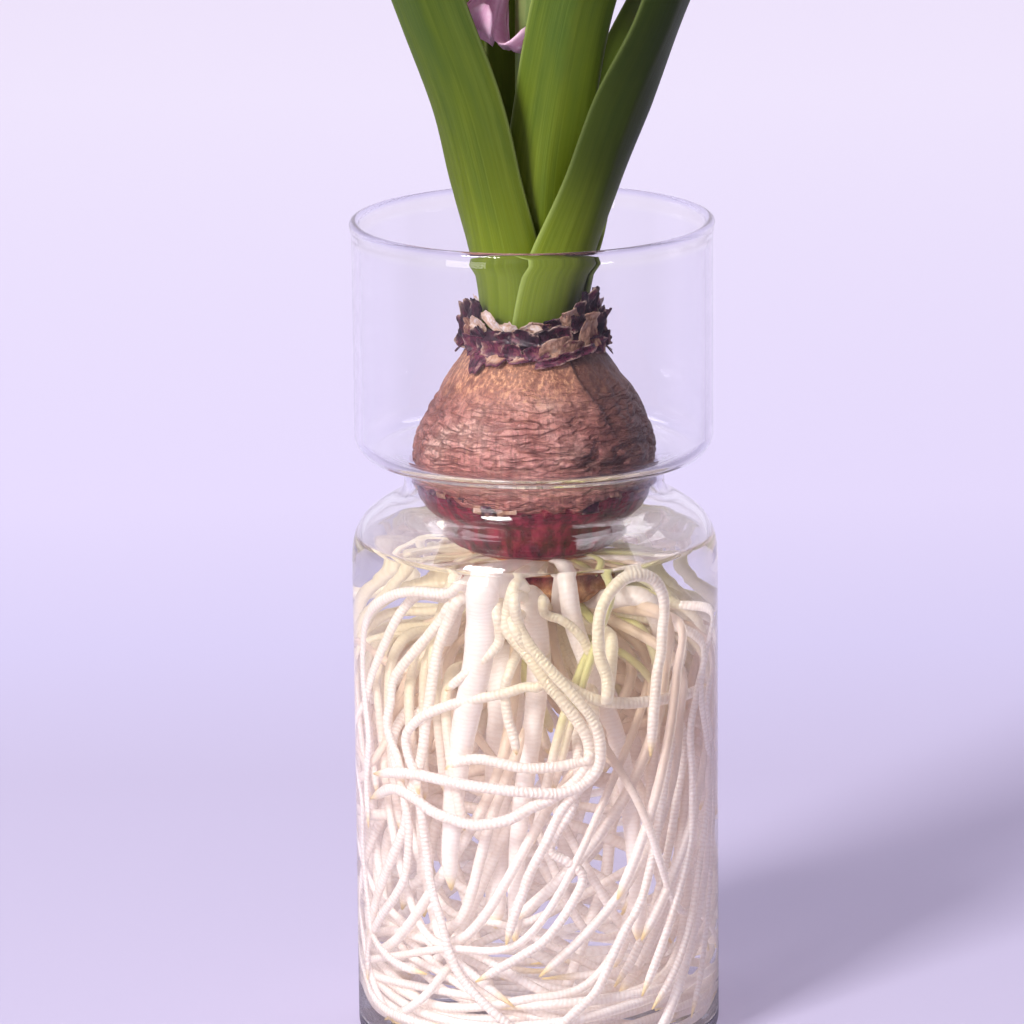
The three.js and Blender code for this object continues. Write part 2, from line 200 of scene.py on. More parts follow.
def join_into(bm, other):
    """Adds one bmesh to another, and frees it."""
    mesh = bpy.data.meshes.new("part")
    other.to_mesh(mesh)
    other.free()
    bm.from_mesh(mesh)
    bpy.data.meshes.remove(mesh)


def strand(path, radius_at, sides):
    """A closed round strand along a path in metres. Its "along" layer holds the length so far in mm."""
    bm = bmesh.new()
    layer = bm.verts.layers.float.new("along")
    share = bm.verts.layers.float.new("share")
    tangent = (path[1] - path[0]).normalized()
    normal = tangent.orthogonal().normalized()
    ring = bmesh.ops.create_circle(bm, segments=sides, radius=1)["verts"]
    place = Matrix.Identity(4)
    travelled = 0.0
    edges = list(bm.edges)
    first = list(edges)
    for i, point in enumerate(path):
        ahead = path[min(i + 1, len(path) - 1)] - path[max(i - 1, 0)]
        turn = tangent.rotation_difference(ahead.normalized())
        normal = (turn @ normal).normalized()
        tangent = ahead.normalized()
        radius = radius_at(i / (len(path) - 1))
        frame_now = Matrix.Translation(point) @ Matrix(
            (normal * radius, tangent.cross(normal) * radius, tangent * radius)
        ).transposed().to_4x4()
        if i:
            travelled += (point - path[i - 1]).length / MM
            grown = bmesh.ops.extrude_edge_only(bm, edges=edges)["geom"]
            ring = [g for g in grown if isinstance(g, bmesh.types.BMVert)]
            edges = [g for g in grown if isinstance(g, bmesh.types.BMEdge)]
            edges = [e for e in edges if all(v in ring for v in e.verts)]
        bmesh.ops.transform(bm, matrix=frame_now @ place.inverted(), verts=ring)
        for v in ring:
            v[layer] = travelled
            v[share] = i / (len(path) - 1)
        place = frame_now
    bmesh.ops.contextual_create(bm, geom=first)
    bmesh.ops.contextual_create(bm, geom=edges)
    bmesh.ops.recalc_face_normals(bm, faces=bm.faces)
    return bm


# ---- Materials ----

DEEPEST_RAY = 8.5  # light that has turned more often than this inside glass or water passes straight on


class Finish:
    """A node material built up step by step."""

    def __init__(self, name):
        self.material = bpy.data.materials.new(name)
        self.material.use_nodes = True
        self.tree = self.material.node_tree
        self.shader = self.tree.nodes["Principled BSDF"]
        self.output = self.tree.nodes["Material Output"]

    def node(self, kind, **settings):
        made = self.tree.nodes.new("ShaderNode" + kind)
        for key, value in settings.items():
            setattr(made, key, value)
        return made

    def link(self, source, target):
        self.tree.links.new(source, target)

    def put(self, **values):
        """Sets the shader's own sockets, named with underscores for spaces."""
        for name, value in values.items():
            self.shader.inputs[name.replace("_", " ")].default_value = value

    def stretched(self, scale, rotation=(0, 0, 0)):
        """Object coordinates, scaled along each axis."""
        mapping = self.node("Mapping")
        mapping.inputs["Scale"].default_value = scale
        mapping.inputs["Rotation"].default_value = rotation
        self.link(self.node("TexCoord").outputs["Object"], mapping.inputs["Vector"])
        return mapping.outputs["Vector"]

    def uv(self, scale=(1, 1, 1)):
        mapping = self.node("Mapping")
        mapping.inputs["Scale"].default_value = scale
        self.link(self.node("TexCoord").outputs["UV"], mapping.inputs["Vector"])
        return mapping.outputs["Vector"]

    def noise(self, vector, scale, detail=3, rough=0.55):
        made = self.node("TexNoise")
        made.inputs["Scale"].default_value = scale
        made.inputs["Detail"].default_value = detail
        made.inputs["Roughness"].default_value = rough
        self.link(vector, made.inputs["Vector"])
        return made.outputs["Fac"]

    def warped(self, scale, distance):
        """Object coordinates pushed about by a soft noise."""
        soft = self.node("TexNoise")
        soft.inputs["Scale"].default_value = 1
        self.link(self.stretched((scale, scale, scale)), soft.inputs["Vector"])
        push = self.node("VectorMath", operation="MULTIPLY_ADD")
        self.link(soft.outputs["Color"], push.inputs[0])
        push.inputs[1].default_value = (distance, distance, distance)
        self.link(self.node("TexCoord").outputs["Object"], push.inputs[2])
        return push.outputs[0]

    def valley(self, vector, scale, width):
        """1 with thin winding lines of 0 through it."""
        mapping = self.node("Mapping")
        mapping.inputs["Scale"].default_value = scale
        self.link(vector, mapping.inputs["Vector"])
        soft = self.noise(mapping.outputs["Vector"], 1, 2, 0.5)
        return self.band(self.math("ABSOLUTE", self.math("SUBTRACT", soft, 0.5)), 0.0, width)

    def attribute(self, name):
        return self.node("Attribute", attribute_name=name).outputs["Fac"]

    def ramp(self, factor, stops):
        made = self.node("ValToRGB")
        elements = made.color_ramp.elements
        while len(elements) < len(stops):
            elements.new(0.5)
        for element, (position, colour) in zip(elements, stops):
            element.position = position
            element.color = (*colour, 1)
        self.link(factor, made.inputs["Fac"])
        return made.outputs["Color"]

    def math(self, operation, a, b=0.5):
        made = self.node("Math", operation=operation)
        for socket, value in zip(made.inputs, (a, b)):
            if hasattr(value, "links"):
                self.link(value, socket)
            else:
                socket.default_value = value
        return made.outputs[0]

    def band(self, value, low, high, start=0.0, end=1.0):
        """A value carried smoothly from one range to another."""
        made = self.node("MapRange", interpolation_type="SMOOTHSTEP")
        self.link(value, made.inputs["Value"])
        for name, number in (("From Min", low), ("From Max", high), ("To Min", start), ("To Max", end)):
            made.inputs[name].default_value = number
        return made.outputs["Result"]

    def mix(self, factor, a, b):
        made = self.node("Mix", data_type="RGBA")
        for socket, value in ((made.inputs[0], factor), (made.inputs[6], a), (made.inputs[7], b)):
            if hasattr(value, "links"):
                self.link(value, socket)
            elif isinstance(value, (int, float)):
                socket.default_value = value
            else:
                socket.default_value = (*value, 1)
        return made.outputs[2]

    def colour(self, socket):
        self.link(socket, self.shader.inputs["Base Color"])

    def roughness(self, socket):
        self.link(socket, self.shader.inputs["Roughness"])

    def bump(self, height, strength, distance):
        made = self.node("Bump")
        made.inputs["Strength"].default_value = strength
        made.inputs["Distance"].default_value = distance
        self.link(height, made.inputs["Height"])
        self.link(made.outputs["Normal"], self.shader.inputs["Normal"])

    def place(self):
        """Object coordinates as separate X, Y and Z, in metres."""
        split = self.node("SeparateXYZ")
        self.link(self.node("TexCoord").outputs["Object"], split.inputs[0])
        return split.outputs

    def height(self):
        return self.place()["Z"]

    def glow_through(self, colour, share):
        """Mixes in light that comes through from behind, as a thin petal or leaf lets it."""
        through = self.node("BsdfTranslucent")
        if hasattr(colour, "links"):
            self.link(colour, through.inputs["Color"])
        else:
            through.inputs["Color"].default_value = (*colour, 1)
        mixer = self.node("MixShader")
        mixer.inputs[0].default_value = share
        self.link(self.shader.outputs[0], mixer.inputs[1])
        self.link(through.outputs[0], mixer.inputs[2])
        self.link(mixer.outputs[0], self.output.inputs["Surface"])

    def thin_out(self, share):
        """Lets a share of the light that falls on other things pass, as moist translucent roots do."""
        path = self.node("LightPath")
        passing = self.math("MAXIMUM", path.outputs["Is Shadow Ray"], path.outputs["Is Diffuse Ray"])
        mixer = self.node("MixShader")
        self.link(self.math("MULTIPLY", passing, share), mixer.inputs[0])
        self.link(self.output.inputs["Surface"].links[0].from_socket, mixer.inputs[1])
        self.link(self.node("BsdfTransparent").outputs[0], mixer.inputs[2])
        self.link(mixer.outputs[0], self.output.inputs["Surface"])

    def let_lamps_through(self, tint, deepest):
        """Shadow and diffuse rays pass straight on, so that what is inside is lit.

        So do rays that have been caught inside the wall for long, which would only end in black.
        """
        path = self.node("LightPath")
        clear = self.node("BsdfTransparent")
        clear.inputs["Color"].default_value = (*tint, 1)
        passing = self.math("MAXIMUM", path.outputs["Is Shadow Ray"], path.outputs["Is Diffuse Ray"])
        caught = self.math("GREATER_THAN", path.outputs["Ray Depth"], deepest)
        mixer = self.node("MixShader")
        self.link(self.math("MAXIMUM", passing, caught), mixer.inputs[0])
        self.link(self.shader.outputs[0], mixer.inputs[1])
        self.link(clear.outputs[0], mixer.inputs[2])
        self.link(mixer.outputs[0], self.output.inputs["Surface"])


def clear_glass():
    finish = Finish("clear_glass")
    finish.put(Base_Color=(0.997, 0.997, 1, 1), Roughness=0.0, IOR=1.45, Transmission_Weight=1,
               Specular_IOR_Level=0.16)
    finish.let_lamps_through((0.985, 0.985, 0.99), DEEPEST_RAY)
    return finish.material


def clear_water():
    finish = Finish("clear_water")
    finish.put(Base_Color=(1, 0.995, 0.975, 1), Roughness=0.0, IOR=WATER_INDEX, Transmission_Weight=1)
    finish.let_lamps_through((1, 0.99, 0.98), DEEPEST_RAY)
    return finish.material


def bulb_skin():
    """Dry brown-pink paper above, glossy purple-red below its torn edge, tan at the basal plate."""
    finish = Finish("bulb_skin")
    paper = finish.attribute("paper")
    plate = finish.attribute("plate")
    fold = finish.attribute("fold")
    creases = finish.attribute("creases")
    blotch = finish.noise(finish.stretched((75, 75, 95)), 1, 5, 0.62)
    fleck = finish.noise(finish.stretched((480, 480, 1000)), 1, 5, 0.7)
    fibre = finish.noise(finish.stretched((1300, 1300, 70)), 1, 3, 0.6)
    bent = finish.warped(150, 0.0022)
    line = finish.valley(bent, (125, 125, 560), 0.1)
    fine_line = finish.valley(bent, (300, 300, 1150), 0.13)
    lines = finish.math("MULTIPLY", line, finish.band(fine_line, 0, 1, 0.72, 1.0))
    lines = finish.math("SUBTRACT", 1.0, finish.math("MULTIPLY", finish.math("SUBTRACT", 1.0, lines), creases))
    brown = finish.ramp(blotch, [(0.34, (0.15, 0.042, 0.035)), (0.45, (0.33, 0.115, 0.095)),
                                 (0.56, (0.5, 0.235, 0.195)), (0.7, (0.66, 0.42, 0.34))])
    top = finish.band(finish.height(), 0.143, 0.156)
    brown = finish.mix(finish.math("MULTIPLY", top, 0.8), brown, (0.25, 0.1, 0.048))
    brown = finish.mix(finish.math("MULTIPLY", finish.band(finish.height(), 0.1325, 0.1275), 0.6), brown,
                       (0.26, 0.06, 0.042))
    spots = finish.math("MULTIPLY", finish.band(fleck, 0.36, 0.62, 0.62, 0.0), finish.band(top, 0, 1, 1.0, 0.35))
    brown = finish.mix(spots, brown, (0.12, 0.035, 0.028))
    # painted shade: the wrinkle lines and the valleys of the folds are coloured darker
    brown = finish.mix(finish.band(lines, 0.0, 0.9, 0.72, 0.0), brown, (0.1, 0.02, 0.015))
    brown = finish.mix(finish.band(fold, 0.0, 0.45, 0.72, 0.0), brown, (0.07, 0.018, 0.014))
    pale_fibre = finish.math("MULTIPLY", finish.band(fibre, 0.5, 0.68), finish.band(creases, 0, 1, 0.85, 0.15))
    brown = finish.mix(pale_fibre, brown, (0.58, 0.3, 0.16))
    brown = finish.mix(finish.band(fibre, 0.38, 0.5, 0.55, 0.0), brown, (0.09, 0.03, 0.02))
    torn = finish.band(paper, 0.5, 1.0, 0.75, 0.0)
    brown = finish.mix(torn, brown, (0.3, 0.05, 0.03))
    # painted shade: the bulb's side turned from the light, its crack and crease are coloured darker, with real
    # dark crumbs along the tear
    brown = finish.mix(finish.attribute("shade"), brown, (0.05, 0.013, 0.009))
    streak = finish.noise(finish.stretched((420, 420, 26)), 1, 4, 0.65)
    purple = finish.ramp(streak, [(0.3, (0.025, 0.003, 0.007)), (0.5, (0.11, 0.007, 0.02)),
                                  (0.72, (0.27, 0.024, 0.05))])
    tan = finish.ramp(finish.noise(finish.stretched((500, 500, 500)), 1, 3),
                      [(0.35, (0.3, 0.12, 0.05)), (0.6, (0.62, 0.36, 0.17))])
    finish.colour(finish.mix(plate, finish.mix(paper, purple, brown), tan))
    finish.roughness(finish.band(paper, 0, 1, 0.14, 0.55))
    grain = finish.math("ADD", finish.math("MULTIPLY", fleck, 1.1), finish.math("MULTIPLY", fibre, 0.4))
    finish.bump(finish.math("ADD", lines, grain), 0.9, 0.5 * MM)
    finish.put(Coat_Weight=0.05, Coat_Roughness=0.25)
    return finish.material


def dry_scale():
    """Old skins in tones from near-black and dark purple over brown and tan to papery white."""
    finish = Finish("dry_scale")
    where = finish.stretched((1, 1, 1))
    patch = finish.noise(where, 420, 4, 0.65)
    grain = finish.noise(finish.uv((9, 2.2, 1)), 1, 4, 0.65)
    tone = finish.math("ADD", finish.attribute("tone"), finish.math("MULTIPLY", finish.math(
        "SUBTRACT", finish.math("ADD", patch, grain), 1.0), 0.75))
    skin = finish.ramp(tone, [(0.0, (0.012, 0.006, 0.01)), (0.16, (0.035, 0.01, 0.018)),
                              (0.3, (0.1, 0.012, 0.035)), (0.45, (0.15, 0.07, 0.05)),
                              (0.65, (0.33, 0.18, 0.115)), (0.85, (0.44, 0.32, 0.26)),
                              (1.0, (0.54, 0.48, 0.5))])
    pale_rim = finish.math("MULTIPLY", finish.attribute("rim"), finish.band(patch, 0.46, 0.62, 0, 0.75))
    finish.colour(finish.mix(pale_rim, skin, (0.42, 0.29, 0.22)))
    finish.roughness(finish.band(finish.attribute("tone"), 0.25, 0.5, 0.33, 0.72))
    finish.bump(grain, 0.8, 0.4 * MM)
    finish.put(Specular_IOR_Level=0.3)
    return finish.material


def leaf_green():
    """Parallel veins along the blade, yellow-green low down and deeper green above."""
    finish = Finish("leaf_green")
    painted_leaf_shade = finish.attribute("painted_leaf_shade")
    across = finish.noise(finish.uv((22, 0.9, 1)), 1, 4, 0.6)
    fine = finish.noise(finish.uv((150, 2.2, 1)), 1, 2, 0.5)
    cloud = finish.noise(finish.uv((4, 6, 1)), 1, 2)
    height = finish.height()
    low = finish.ramp(across, [(0.25, (0.085, 0.12, 0.004)), (0.75, (0.155, 0.19, 0.01))])
    high = finish.ramp(across, [(0.25, (0.045, 0.084, 0.01)), (0.75, (0.11, 0.152, 0.018))])
    patch = finish.noise(finish.uv((2.6, 3.2, 1)), 1, 2)
    high = finish.mix(finish.band(patch, 0.42, 0.62, 0.45, 0.0), high, (0.03, 0.066, 0.01))
    green = finish.mix(finish.band(finish.math("ADD", height, finish.math("MULTIPLY", cloud, 0.09)),
                                   0.22, 0.3), low, high)
    green = finish.mix(finish.band(fine, 0.4, 0.75, 0.0, 0.22), green, (0.24, 0.34, 0.05))
    green = finish.mix(finish.math("MULTIPLY", finish.attribute("margin"), 0.7), green, (0.3, 0.36, 0.1))
    # painted shade: blades turned from the light are coloured darker above their sheaths
    finish.colour(finish.mix(painted_leaf_shade, green, (0.01, 0.018, 0.004)))
    finish.roughness(finish.band(fine, 0.3, 0.7, 0.42, 0.56))
    finish.bump(finish.math("ADD", across, finish.math("MULTIPLY", fine, 0.5)), 0.3, 0.25 * MM)
    finish.put(Specular_IOR_Level=0.22)
    finish.glow_through((0.3, 0.42, 0.015), 0.16)
    return finish.material


def stalk_green():
    finish = Finish("stalk_green")
    grain = finish.noise(finish.stretched((500, 500, 40)), 1, 3)
    low = finish.ramp(grain, [(0.3, (0.16, 0.27, 0.05)), (0.7, (0.34, 0.44, 0.14))])
    finish.colour(finish.mix(finish.band(finish.height(), 0.25, 0.32, 0.0, 0.45), low, (0.36, 0.16, 0.2)))
    finish.put(Roughness=0.42)
    finish.bump(grain, 0.3, 0.2 * MM)
    return finish.material


def petal_pink():
    """Pale mauve-pink lobes with a deeper line down the middle and along the tube."""
    finish = Finish("petal_pink")
    middle = finish.attribute("middle")
    length = finish.attribute("length")
    cells = finish.noise(finish.stretched((1, 1, 1)), 900, 2)
    vein = finish.noise(finish.uv((26, 1.4, 1)), 1, 2)
    pale = finish.ramp(cells, [(0.3, (0.86, 0.56, 0.69)), (0.7, (0.93, 0.72, 0.81))])
    deep = finish.mix(finish.band(length, 0.2, 0.9), (0.66, 0.3, 0.48), (0.74, 0.36, 0.56))
    pink = finish.mix(finish.math("MULTIPLY", middle, finish.band(vein, 0.3, 0.7, 0.3, 0.8)), pale, deep)
    pink = finish.mix(finish.band(length, 0.0, 0.3, 0.5, 0.0), pink, (0.42, 0.4, 0.22))
    finish.colour(pink)
    finish.put(Roughness=0.42, Specular_IOR_Level=0.35, Sheen_Weight=0.15)
    finish.bump(finish.math("ADD", cells, vein), 0.25, 0.15 * MM)
    finish.glow_through(pink, 0.45)
    return finish.material


def anther_cream():
    finish = Finish("anther_cream")
    finish.colour(finish.ramp(finish.noise(finish.stretched((1, 1, 1)), 1500, 2),
                              [(0.3, (0.55, 0.42, 0.16)), (0.7, (0.8, 0.72, 0.42))]))
    finish.put(Roughness=0.7)
    return finish.material


def root_white(name="root_white", green=0.0, rings=0.5, thin=0.5, deep_painted_shade=0.0, yellow=0.55):
    """Moist white roots with fine rings and yellowish tips, green where light reached them."""
    finish = Finish(name)
    share = finish.attribute("share")
    mottle = finish.noise(finish.stretched((1, 1, 1)), 260, 3)
    phase = finish.math("ADD", finish.math("MULTIPLY", finish.attribute("along"), 6.3),
                        finish.math("MULTIPLY", mottle, 17))
    ring = finish.math("SINE", phase)
    white = finish.ramp(mottle, [(0.3, (0.9, 0.79, 0.72)), (0.6, (0.97, 0.91, 0.88))])
    white = finish.mix(finish.band(ring, -0.9, 0.3, rings, 0.0), white, (0.64, 0.47, 0.38))
    place = finish.place()
    height = finish.math("ADD", place["Z"], finish.math("MULTIPLY", mottle, 0.02))
    right = finish.math("MULTIPLY", finish.band(place["X"], -0.016, 0.002, 0.35, 1.0),
                        finish.band(place["X"], 0.014, 0.03, 1.0, 0.3))
    white = finish.mix(finish.math("MULTIPLY", finish.band(height, 0.074, 0.106, 0.0, yellow), right), white,
                       (0.66, 0.58, 0.2))
    if green:
        white = finish.mix(finish.math("MULTIPLY", finish.band(height, 0.078, 0.104, 0.0, green), right), white,
                           (0.46, 0.56, 0.05))
    # painted shade: the roots in the upper middle of the mass, shaded by the bulb, are coloured tan
    if deep_painted_shade:
        white = finish.mix(finish.band(place["Z"], 0.045, 0.08, 0.0, deep_painted_shade), white, (0.66, 0.47, 0.33))
    white = finish.mix(finish.band(share, 0.955, 1.0), white, (0.85, 0.62, 0.2))
    finish.colour(white)
    finish.roughness(finish.band(mottle, 0.3, 0.7, 0.3, 0.5))
    finish.bump(ring, rings * 1.4, 0.08 * MM)
    finish.put(Specular_IOR_Level=0.5)
    finish.glow_through((1.0, 0.95, 0.88), 0.46)
    finish.thin_out(thin)
    return finish.material


# ---- Glass and water ----


def offset_line(line, distance):
    """A profile moved to its left by a distance."""
    moved = []
    for i, (r, z) in enumerate(line):
        before = line[max(i - 1, 0)]
        after = line[min(i + 1, len(line) - 1)]
        along = Vector((after[0] - before[0], after[1] - before[1])).normalized()
        moved.append((r - distance * along.y, z + distance * along.x))
    return moved


def wall_line():
    """The outside of the glass from above the base corner to below the rim."""
    bend = [
        (BODY_RADIUS, SHOULDER_Z - 3), (BODY_RADIUS, SHOULDER_Z), (BODY_RADIUS - 0.6, SHOULDER_Z + 4.6),
        (BODY_RADIUS - 2.6, SHOULDER_Z + 8.4), (BODY_RADIUS - 6.4, SHOULDER_Z + 11.4),
        (WAIST_RADIUS + 1.6, WAIST_Z - 4), (WAIST_RADIUS + 0.3, WAIST_Z - 2), (WAIST_RADIUS, WAIST_Z),
        (WAIST_RADIUS + 0.4, WAIST_Z + 2.2), (WAIST_RADIUS + 2.1, WAIST_Z + 4.3),
        (CUP_RADIUS - CUP_CORNER, CUP_FLOOR_Z),
    ]
    line = [(BODY_RADIUS, BASE_CORNER), (BODY_RADIUS, 60)]
    line += [tuple(p) for p in smooth_line([(*p, 0) for p in bend], 5)]
    line = [(min(p[0], BODY_RADIUS), p[1]) for p in line]
    line += arc(CUP_RADIUS - CUP_CORNER, CUP_FLOOR_Z + CUP_CORNER, CUP_CORNER, -80, 0, 8)
    line += [(CUP_RADIUS, VASE_HEIGHT - 30), (CUP_RADIUS, VASE_HEIGHT - 5), (CUP_RADIUS + 0.14, VASE_HEIGHT - 2.8)]
    return line


def vase_profile():
    outside = wall_line()
    inside = [p for p in offset_line(outside, GLASS) if p[1] > BASE_THICKNESS + BASE_CORNER]
    corner = BODY_RADIUS - BASE_CORNER
    return [
        (0, 0), (corner * 0.6, 0),
        *arc(corner, BASE_CORNER, BASE_CORNER, -90, -8, 8),
        *outside,
        *arc(CUP_RADIUS + 0.5 - LIP, VASE_HEIGHT - LIP, LIP, 0, 180, 10),
        *reversed(inside),
        *arc(corner - GLASS, BASE_THICKNESS + BASE_CORNER, BASE_CORNER, 0, -90, 8),
        (corner * 0.5, BASE_THICKNESS), (0, BASE_THICKNESS),
    ]


def water_profile():
    """All the water, up to a level surface that climbs a little at the glass."""
    inside = [p for p in offset_line(wall_line(), GLASS - WATER_BITE)
              if BASE_THICKNESS + BASE_CORNER < p[1] < WATER_LEVEL + 0.9]
    corner = BODY_RADIUS - BASE_CORNER - GLASS
    edge = inside[-1][0]
    return [
        (0, BASE_THICKNESS - WATER_BITE), (corner * 0.5, BASE_THICKNESS - WATER_BITE),
        *arc(corner, BASE_THICKNESS + BASE_CORNER, BASE_CORNER + WATER_BITE, -90, 0, 8),
        *inside,
        (edge - 0.5, WATER_LEVEL + 0.5), (edge - 1.3, WATER_LEVEL + 0.15), (edge - 2.6, WATER_LEVEL),
        (edge * 0.6, WATER_LEVEL), (0, WATER_LEVEL),
    ]


def add_glass():
    piece("vase_glass", turned(vase_profile(), 160), clear_glass(), ["vase"])
    piece("vase_water", turned(water_profile(), 160), clear_water(), ["water"])


# ---- Bulb ----

CRACK_AT = (-60, 137)  # the knobbly crack in the tunic: azimuth, height
SEAM = [(-59, 160), (-57, 157), (-52, 151), (-47, 146), (-43, 141), (-40, 134), (-38, 120)]  # the crease past it
PAPER_EDGE_Z = 125.8  # where the papery tunic is torn off at the front
EDGE_FRONT = -92  # azimuth where that edge hangs lowest
EDGE_RISE = 3.4  # how much higher it runs at the sides and behind


def around(azimuth, other):
    """The signed difference of two azimuths in degrees."""
    return (azimuth - other + 180) % 360 - 180


def beyond_seam(azimuth, z):
    """How many degrees to the right of the crease a place on the bulb lies."""
    for (a0, z0), (a1, z1) in zip(SEAM, SEAM[1:]):
        if z >= z1:
            return around(azimuth, lerp(a0, a1, min(max((z - z0) / (z1 - z0), 0), 1)))
    return around(azimuth, SEAM[-1][0])


def edge_rise(azimuth):
    return EDGE_RISE * smoothstep(abs(around(azimuth, EDGE_FRONT)), 20, 42)


def bulb_relief(azimuth, z, point):
    """Height in mm over the smooth bulb, and the shares of paper, basal plate, fold, painted shade with real dark
    crumbs, and creases.
    """
    edge = PAPER_EDGE_Z + 2.0 * noise.noise(point * 110) + 1.6 * noise.noise(point * 380)
    edge += noise.noise(point * 900)
    edge += edge_rise(azimuth)
    paper = smoothstep(z, edge - 0.35, edge + 0.5)
    plate = 1 - smoothstep(z + 1.2 * noise.noise(point * 300), 106.4, 108.4)
    crack_z = CRACK_AT[1] - 0.5 + 1.1 * noise.noise(point * 210)
    aside = around(azimuth, CRACK_AT[0]) / 16
    near_crack = math.exp(-(aside ** 2) - ((z - CRACK_AT[1]) / 4.5) ** 2)
    crack = math.exp(-(aside ** 2) - ((z - crack_z) / 0.75) ** 2)
    aside_seam = beyond_seam(azimuth, z) + 3 * noise.noise(point * 200)
    seam = math.exp(-(aside_seam / 2.4) ** 2) * smoothstep(z, 136, 142)
    warp = point + noise.noise_vector(point * 130) * 0.0022
    thin = abs(noise.noise(Vector((warp.x * 115, warp.y * 115, warp.z * 520)))) * 4.2
    wide = abs(noise.noise(Vector((warp.x * 60 + 9, warp.y * 60, warp.z * 250)))) * 3.2
    belly = smoothstep(z, 121, 128) * (1 - 0.9 * smoothstep(z, 146, 155))
    fold = min(thin, 1) * 0.55 + min(wide, 1) * 0.45
    long_fold = noise.noise(Vector((point.x * 330, point.y * 330, point.z * 40 + 3)))
    relief = paper * (0.4 + belly * (0.5 * min(thin, 1) + 0.36 * min(wide, 1) - 0.4) + 0.35 * long_fold)
    relief += near_crack * (1.2 * noise.noise(point * 330) + 0.8 * noise.noise(point * 800) + 0.3)
    relief -= 1.2 * crack + 0.3 * seam - 0.5 * math.exp(-((aside_seam + 4) / 4) ** 2) * smoothstep(z, 138, 146)
    relief += (1 - paper) * (1 - plate) * 0.12 * noise.noise(Vector((point.x * 500, point.y * 500, point.z * 30)))
    relief += plate * (0.7 * noise.noise(point * 420) + 0.4)
    relief += 0.3 * noise.noise(point * 45)
    relief -= 0.9 * smoothstep(-math.cos(math.radians(azimuth)), 0.4, 0.98) * math.exp(-((z - 147) / 8) ** 2)
    # painted shade: the side past the crease, the right side and the left rim, turned from the light, are marked
    # darker
    painted_dark_side = smoothstep(aside_seam, -5, 6) * smoothstep(z, 130, 140) * 0.5
    painted_dark_side += 0.5 * smoothstep(math.cos(math.radians(azimuth + 12)) + 0.25 * noise.noise(point * 90), 0.3, 0.9)
    painted_dark_side = painted_dark_side * (around(azimuth, -90) > -90)
    painted_dark_side += 0.3 * smoothstep(-math.cos(math.radians(azimuth)), 0.85, 1)
    tear = math.exp(-((z - edge - 0.8) / 0.9) ** 2) * smoothstep(noise.noise(point * 700), -0.1, 0.4)
    # painted shade in the crack, the knobbly place round it and along the crease, with real dark crumbs along the
    # tear
    shade = min(0.8 * painted_dark_side + 0.8 * crack + 0.4 * seam + near_crack * abs(noise.noise(point * 600)) * 1.5
                + 0.55 * tear, 0.88)
    return relief - 0.75, paper, plate, lerp(1, fold, belly), shade, belly


def add_bulb():
    outline = [(p.x, p.y) for p in smooth_line([(*p, 0) for p in BULB_OUTLINE], 13)]
    bm = turned(outline, 300)
    layers = {name: bm.verts.layers.float.new(name) for name in ("paper", "plate", "fold", "shade", "creases")}
    bm.normal_update()
    for v in bm.verts:
        azimuth = math.degrees(math.atan2(v.co.y, v.co.x))
        z = v.co.z / MM
        height, *shares = bulb_relief(azimuth, z, v.co)
        for layer, share in zip(layers.values(), shares):
            v[layer] = share
        if v.co.xy.length / MM > 12.4 or z < 150:
            v.co += v.normal * height * MM
    piece("bulb_tunic", bm, bulb_skin(), ["bulb"])
    add_hem()


HEM_FLAKES = 44  # crumbling scraps along the torn edge of the tunic


def scrap(columns, rows):
    """A flat sheet from -1 to 1 each way, and its layers for the tone and for the paler rim."""
    bm = bmesh.new()
    bm.loops.layers.uv.verify()
    tone_layer = bm.verts.layers.float.new("tone")
    rim_layer = bm.verts.layers.float.new("rim")
    bmesh.ops.create_grid(bm, x_segments=columns, y_segments=rows, size=1, calc_uvs=True)
    return bm, tone_layer, rim_layer


def hem_flake(rng):
    """A scrap of dry tunic that stands off the bulb at the torn edge."""
    azimuth, width, long = rng.uniform(0, 360), rng.uniform(1.4, 4.2), rng.uniform(1.2, 3.2)
    middle = PAPER_EDGE_Z + 0.6 + edge_rise(azimuth) + rng.uniform(-1.2, 1.6)
    seed, tone, lift = rng.uniform(0, 100), rng.choice((0.12, 0.3, 0.42, 0.55, 0.62)), rng.uniform(0.1, 0.8)
    bm, tone_layer, rim_layer = scrap(6, 5)
    for v in bm.verts:
        s, t = v.co.x, v.co.y
        ragged = 1 + 0.5 * noise.noise(Vector((s * 3 + seed, t * 3, 1)))
        z = middle + t * long / 2 * ragged
        out = bulb_radius(z) - 0.3 + lift * smoothstep(-t, -0.9, 0.9)
        out += 0.3 * noise.noise(Vector((s * 2, t * 2, seed)))
        v.co = polar(azimuth + math.degrees(s * width / 2 * ragged / out), out, z) * MM
        v[tone_layer] = tone + 0.15 * noise.noise(Vector((s * 2, t * 2, seed + 5)))
        v[rim_layer] = 0.6 * smoothstep(max(abs(s), abs(t)), 0.7, 1.0)
    bmesh.ops.solidify(bm, geom=bm.faces[:], thickness=0.3 * MM)
    return bm


def add_hem():
    rng = random.Random(19)
    bm = bmesh.new()
    for _ in range(HEM_FLAKES):
        join_into(bm, hem_flake(rng))
    bmesh.ops.recalc_face_normals(bm, faces=bm.faces)
    subdivide(piece("torn_hem", bm, dry_scale(), ["bulb"]))


def bulb_radius(z):
    """The smooth bulb's radius at a height, in millimetres."""
    side = [p for p in BULB_OUTLINE if p[0] > 12.5][1:]
    for (r0, z0), (r1, z1) in zip(side, side[1:]):
        if z0 <= z <= z1:
            return lerp(r0, r1, (z - z0) / (z1 - z0))
    return side[-1][0]


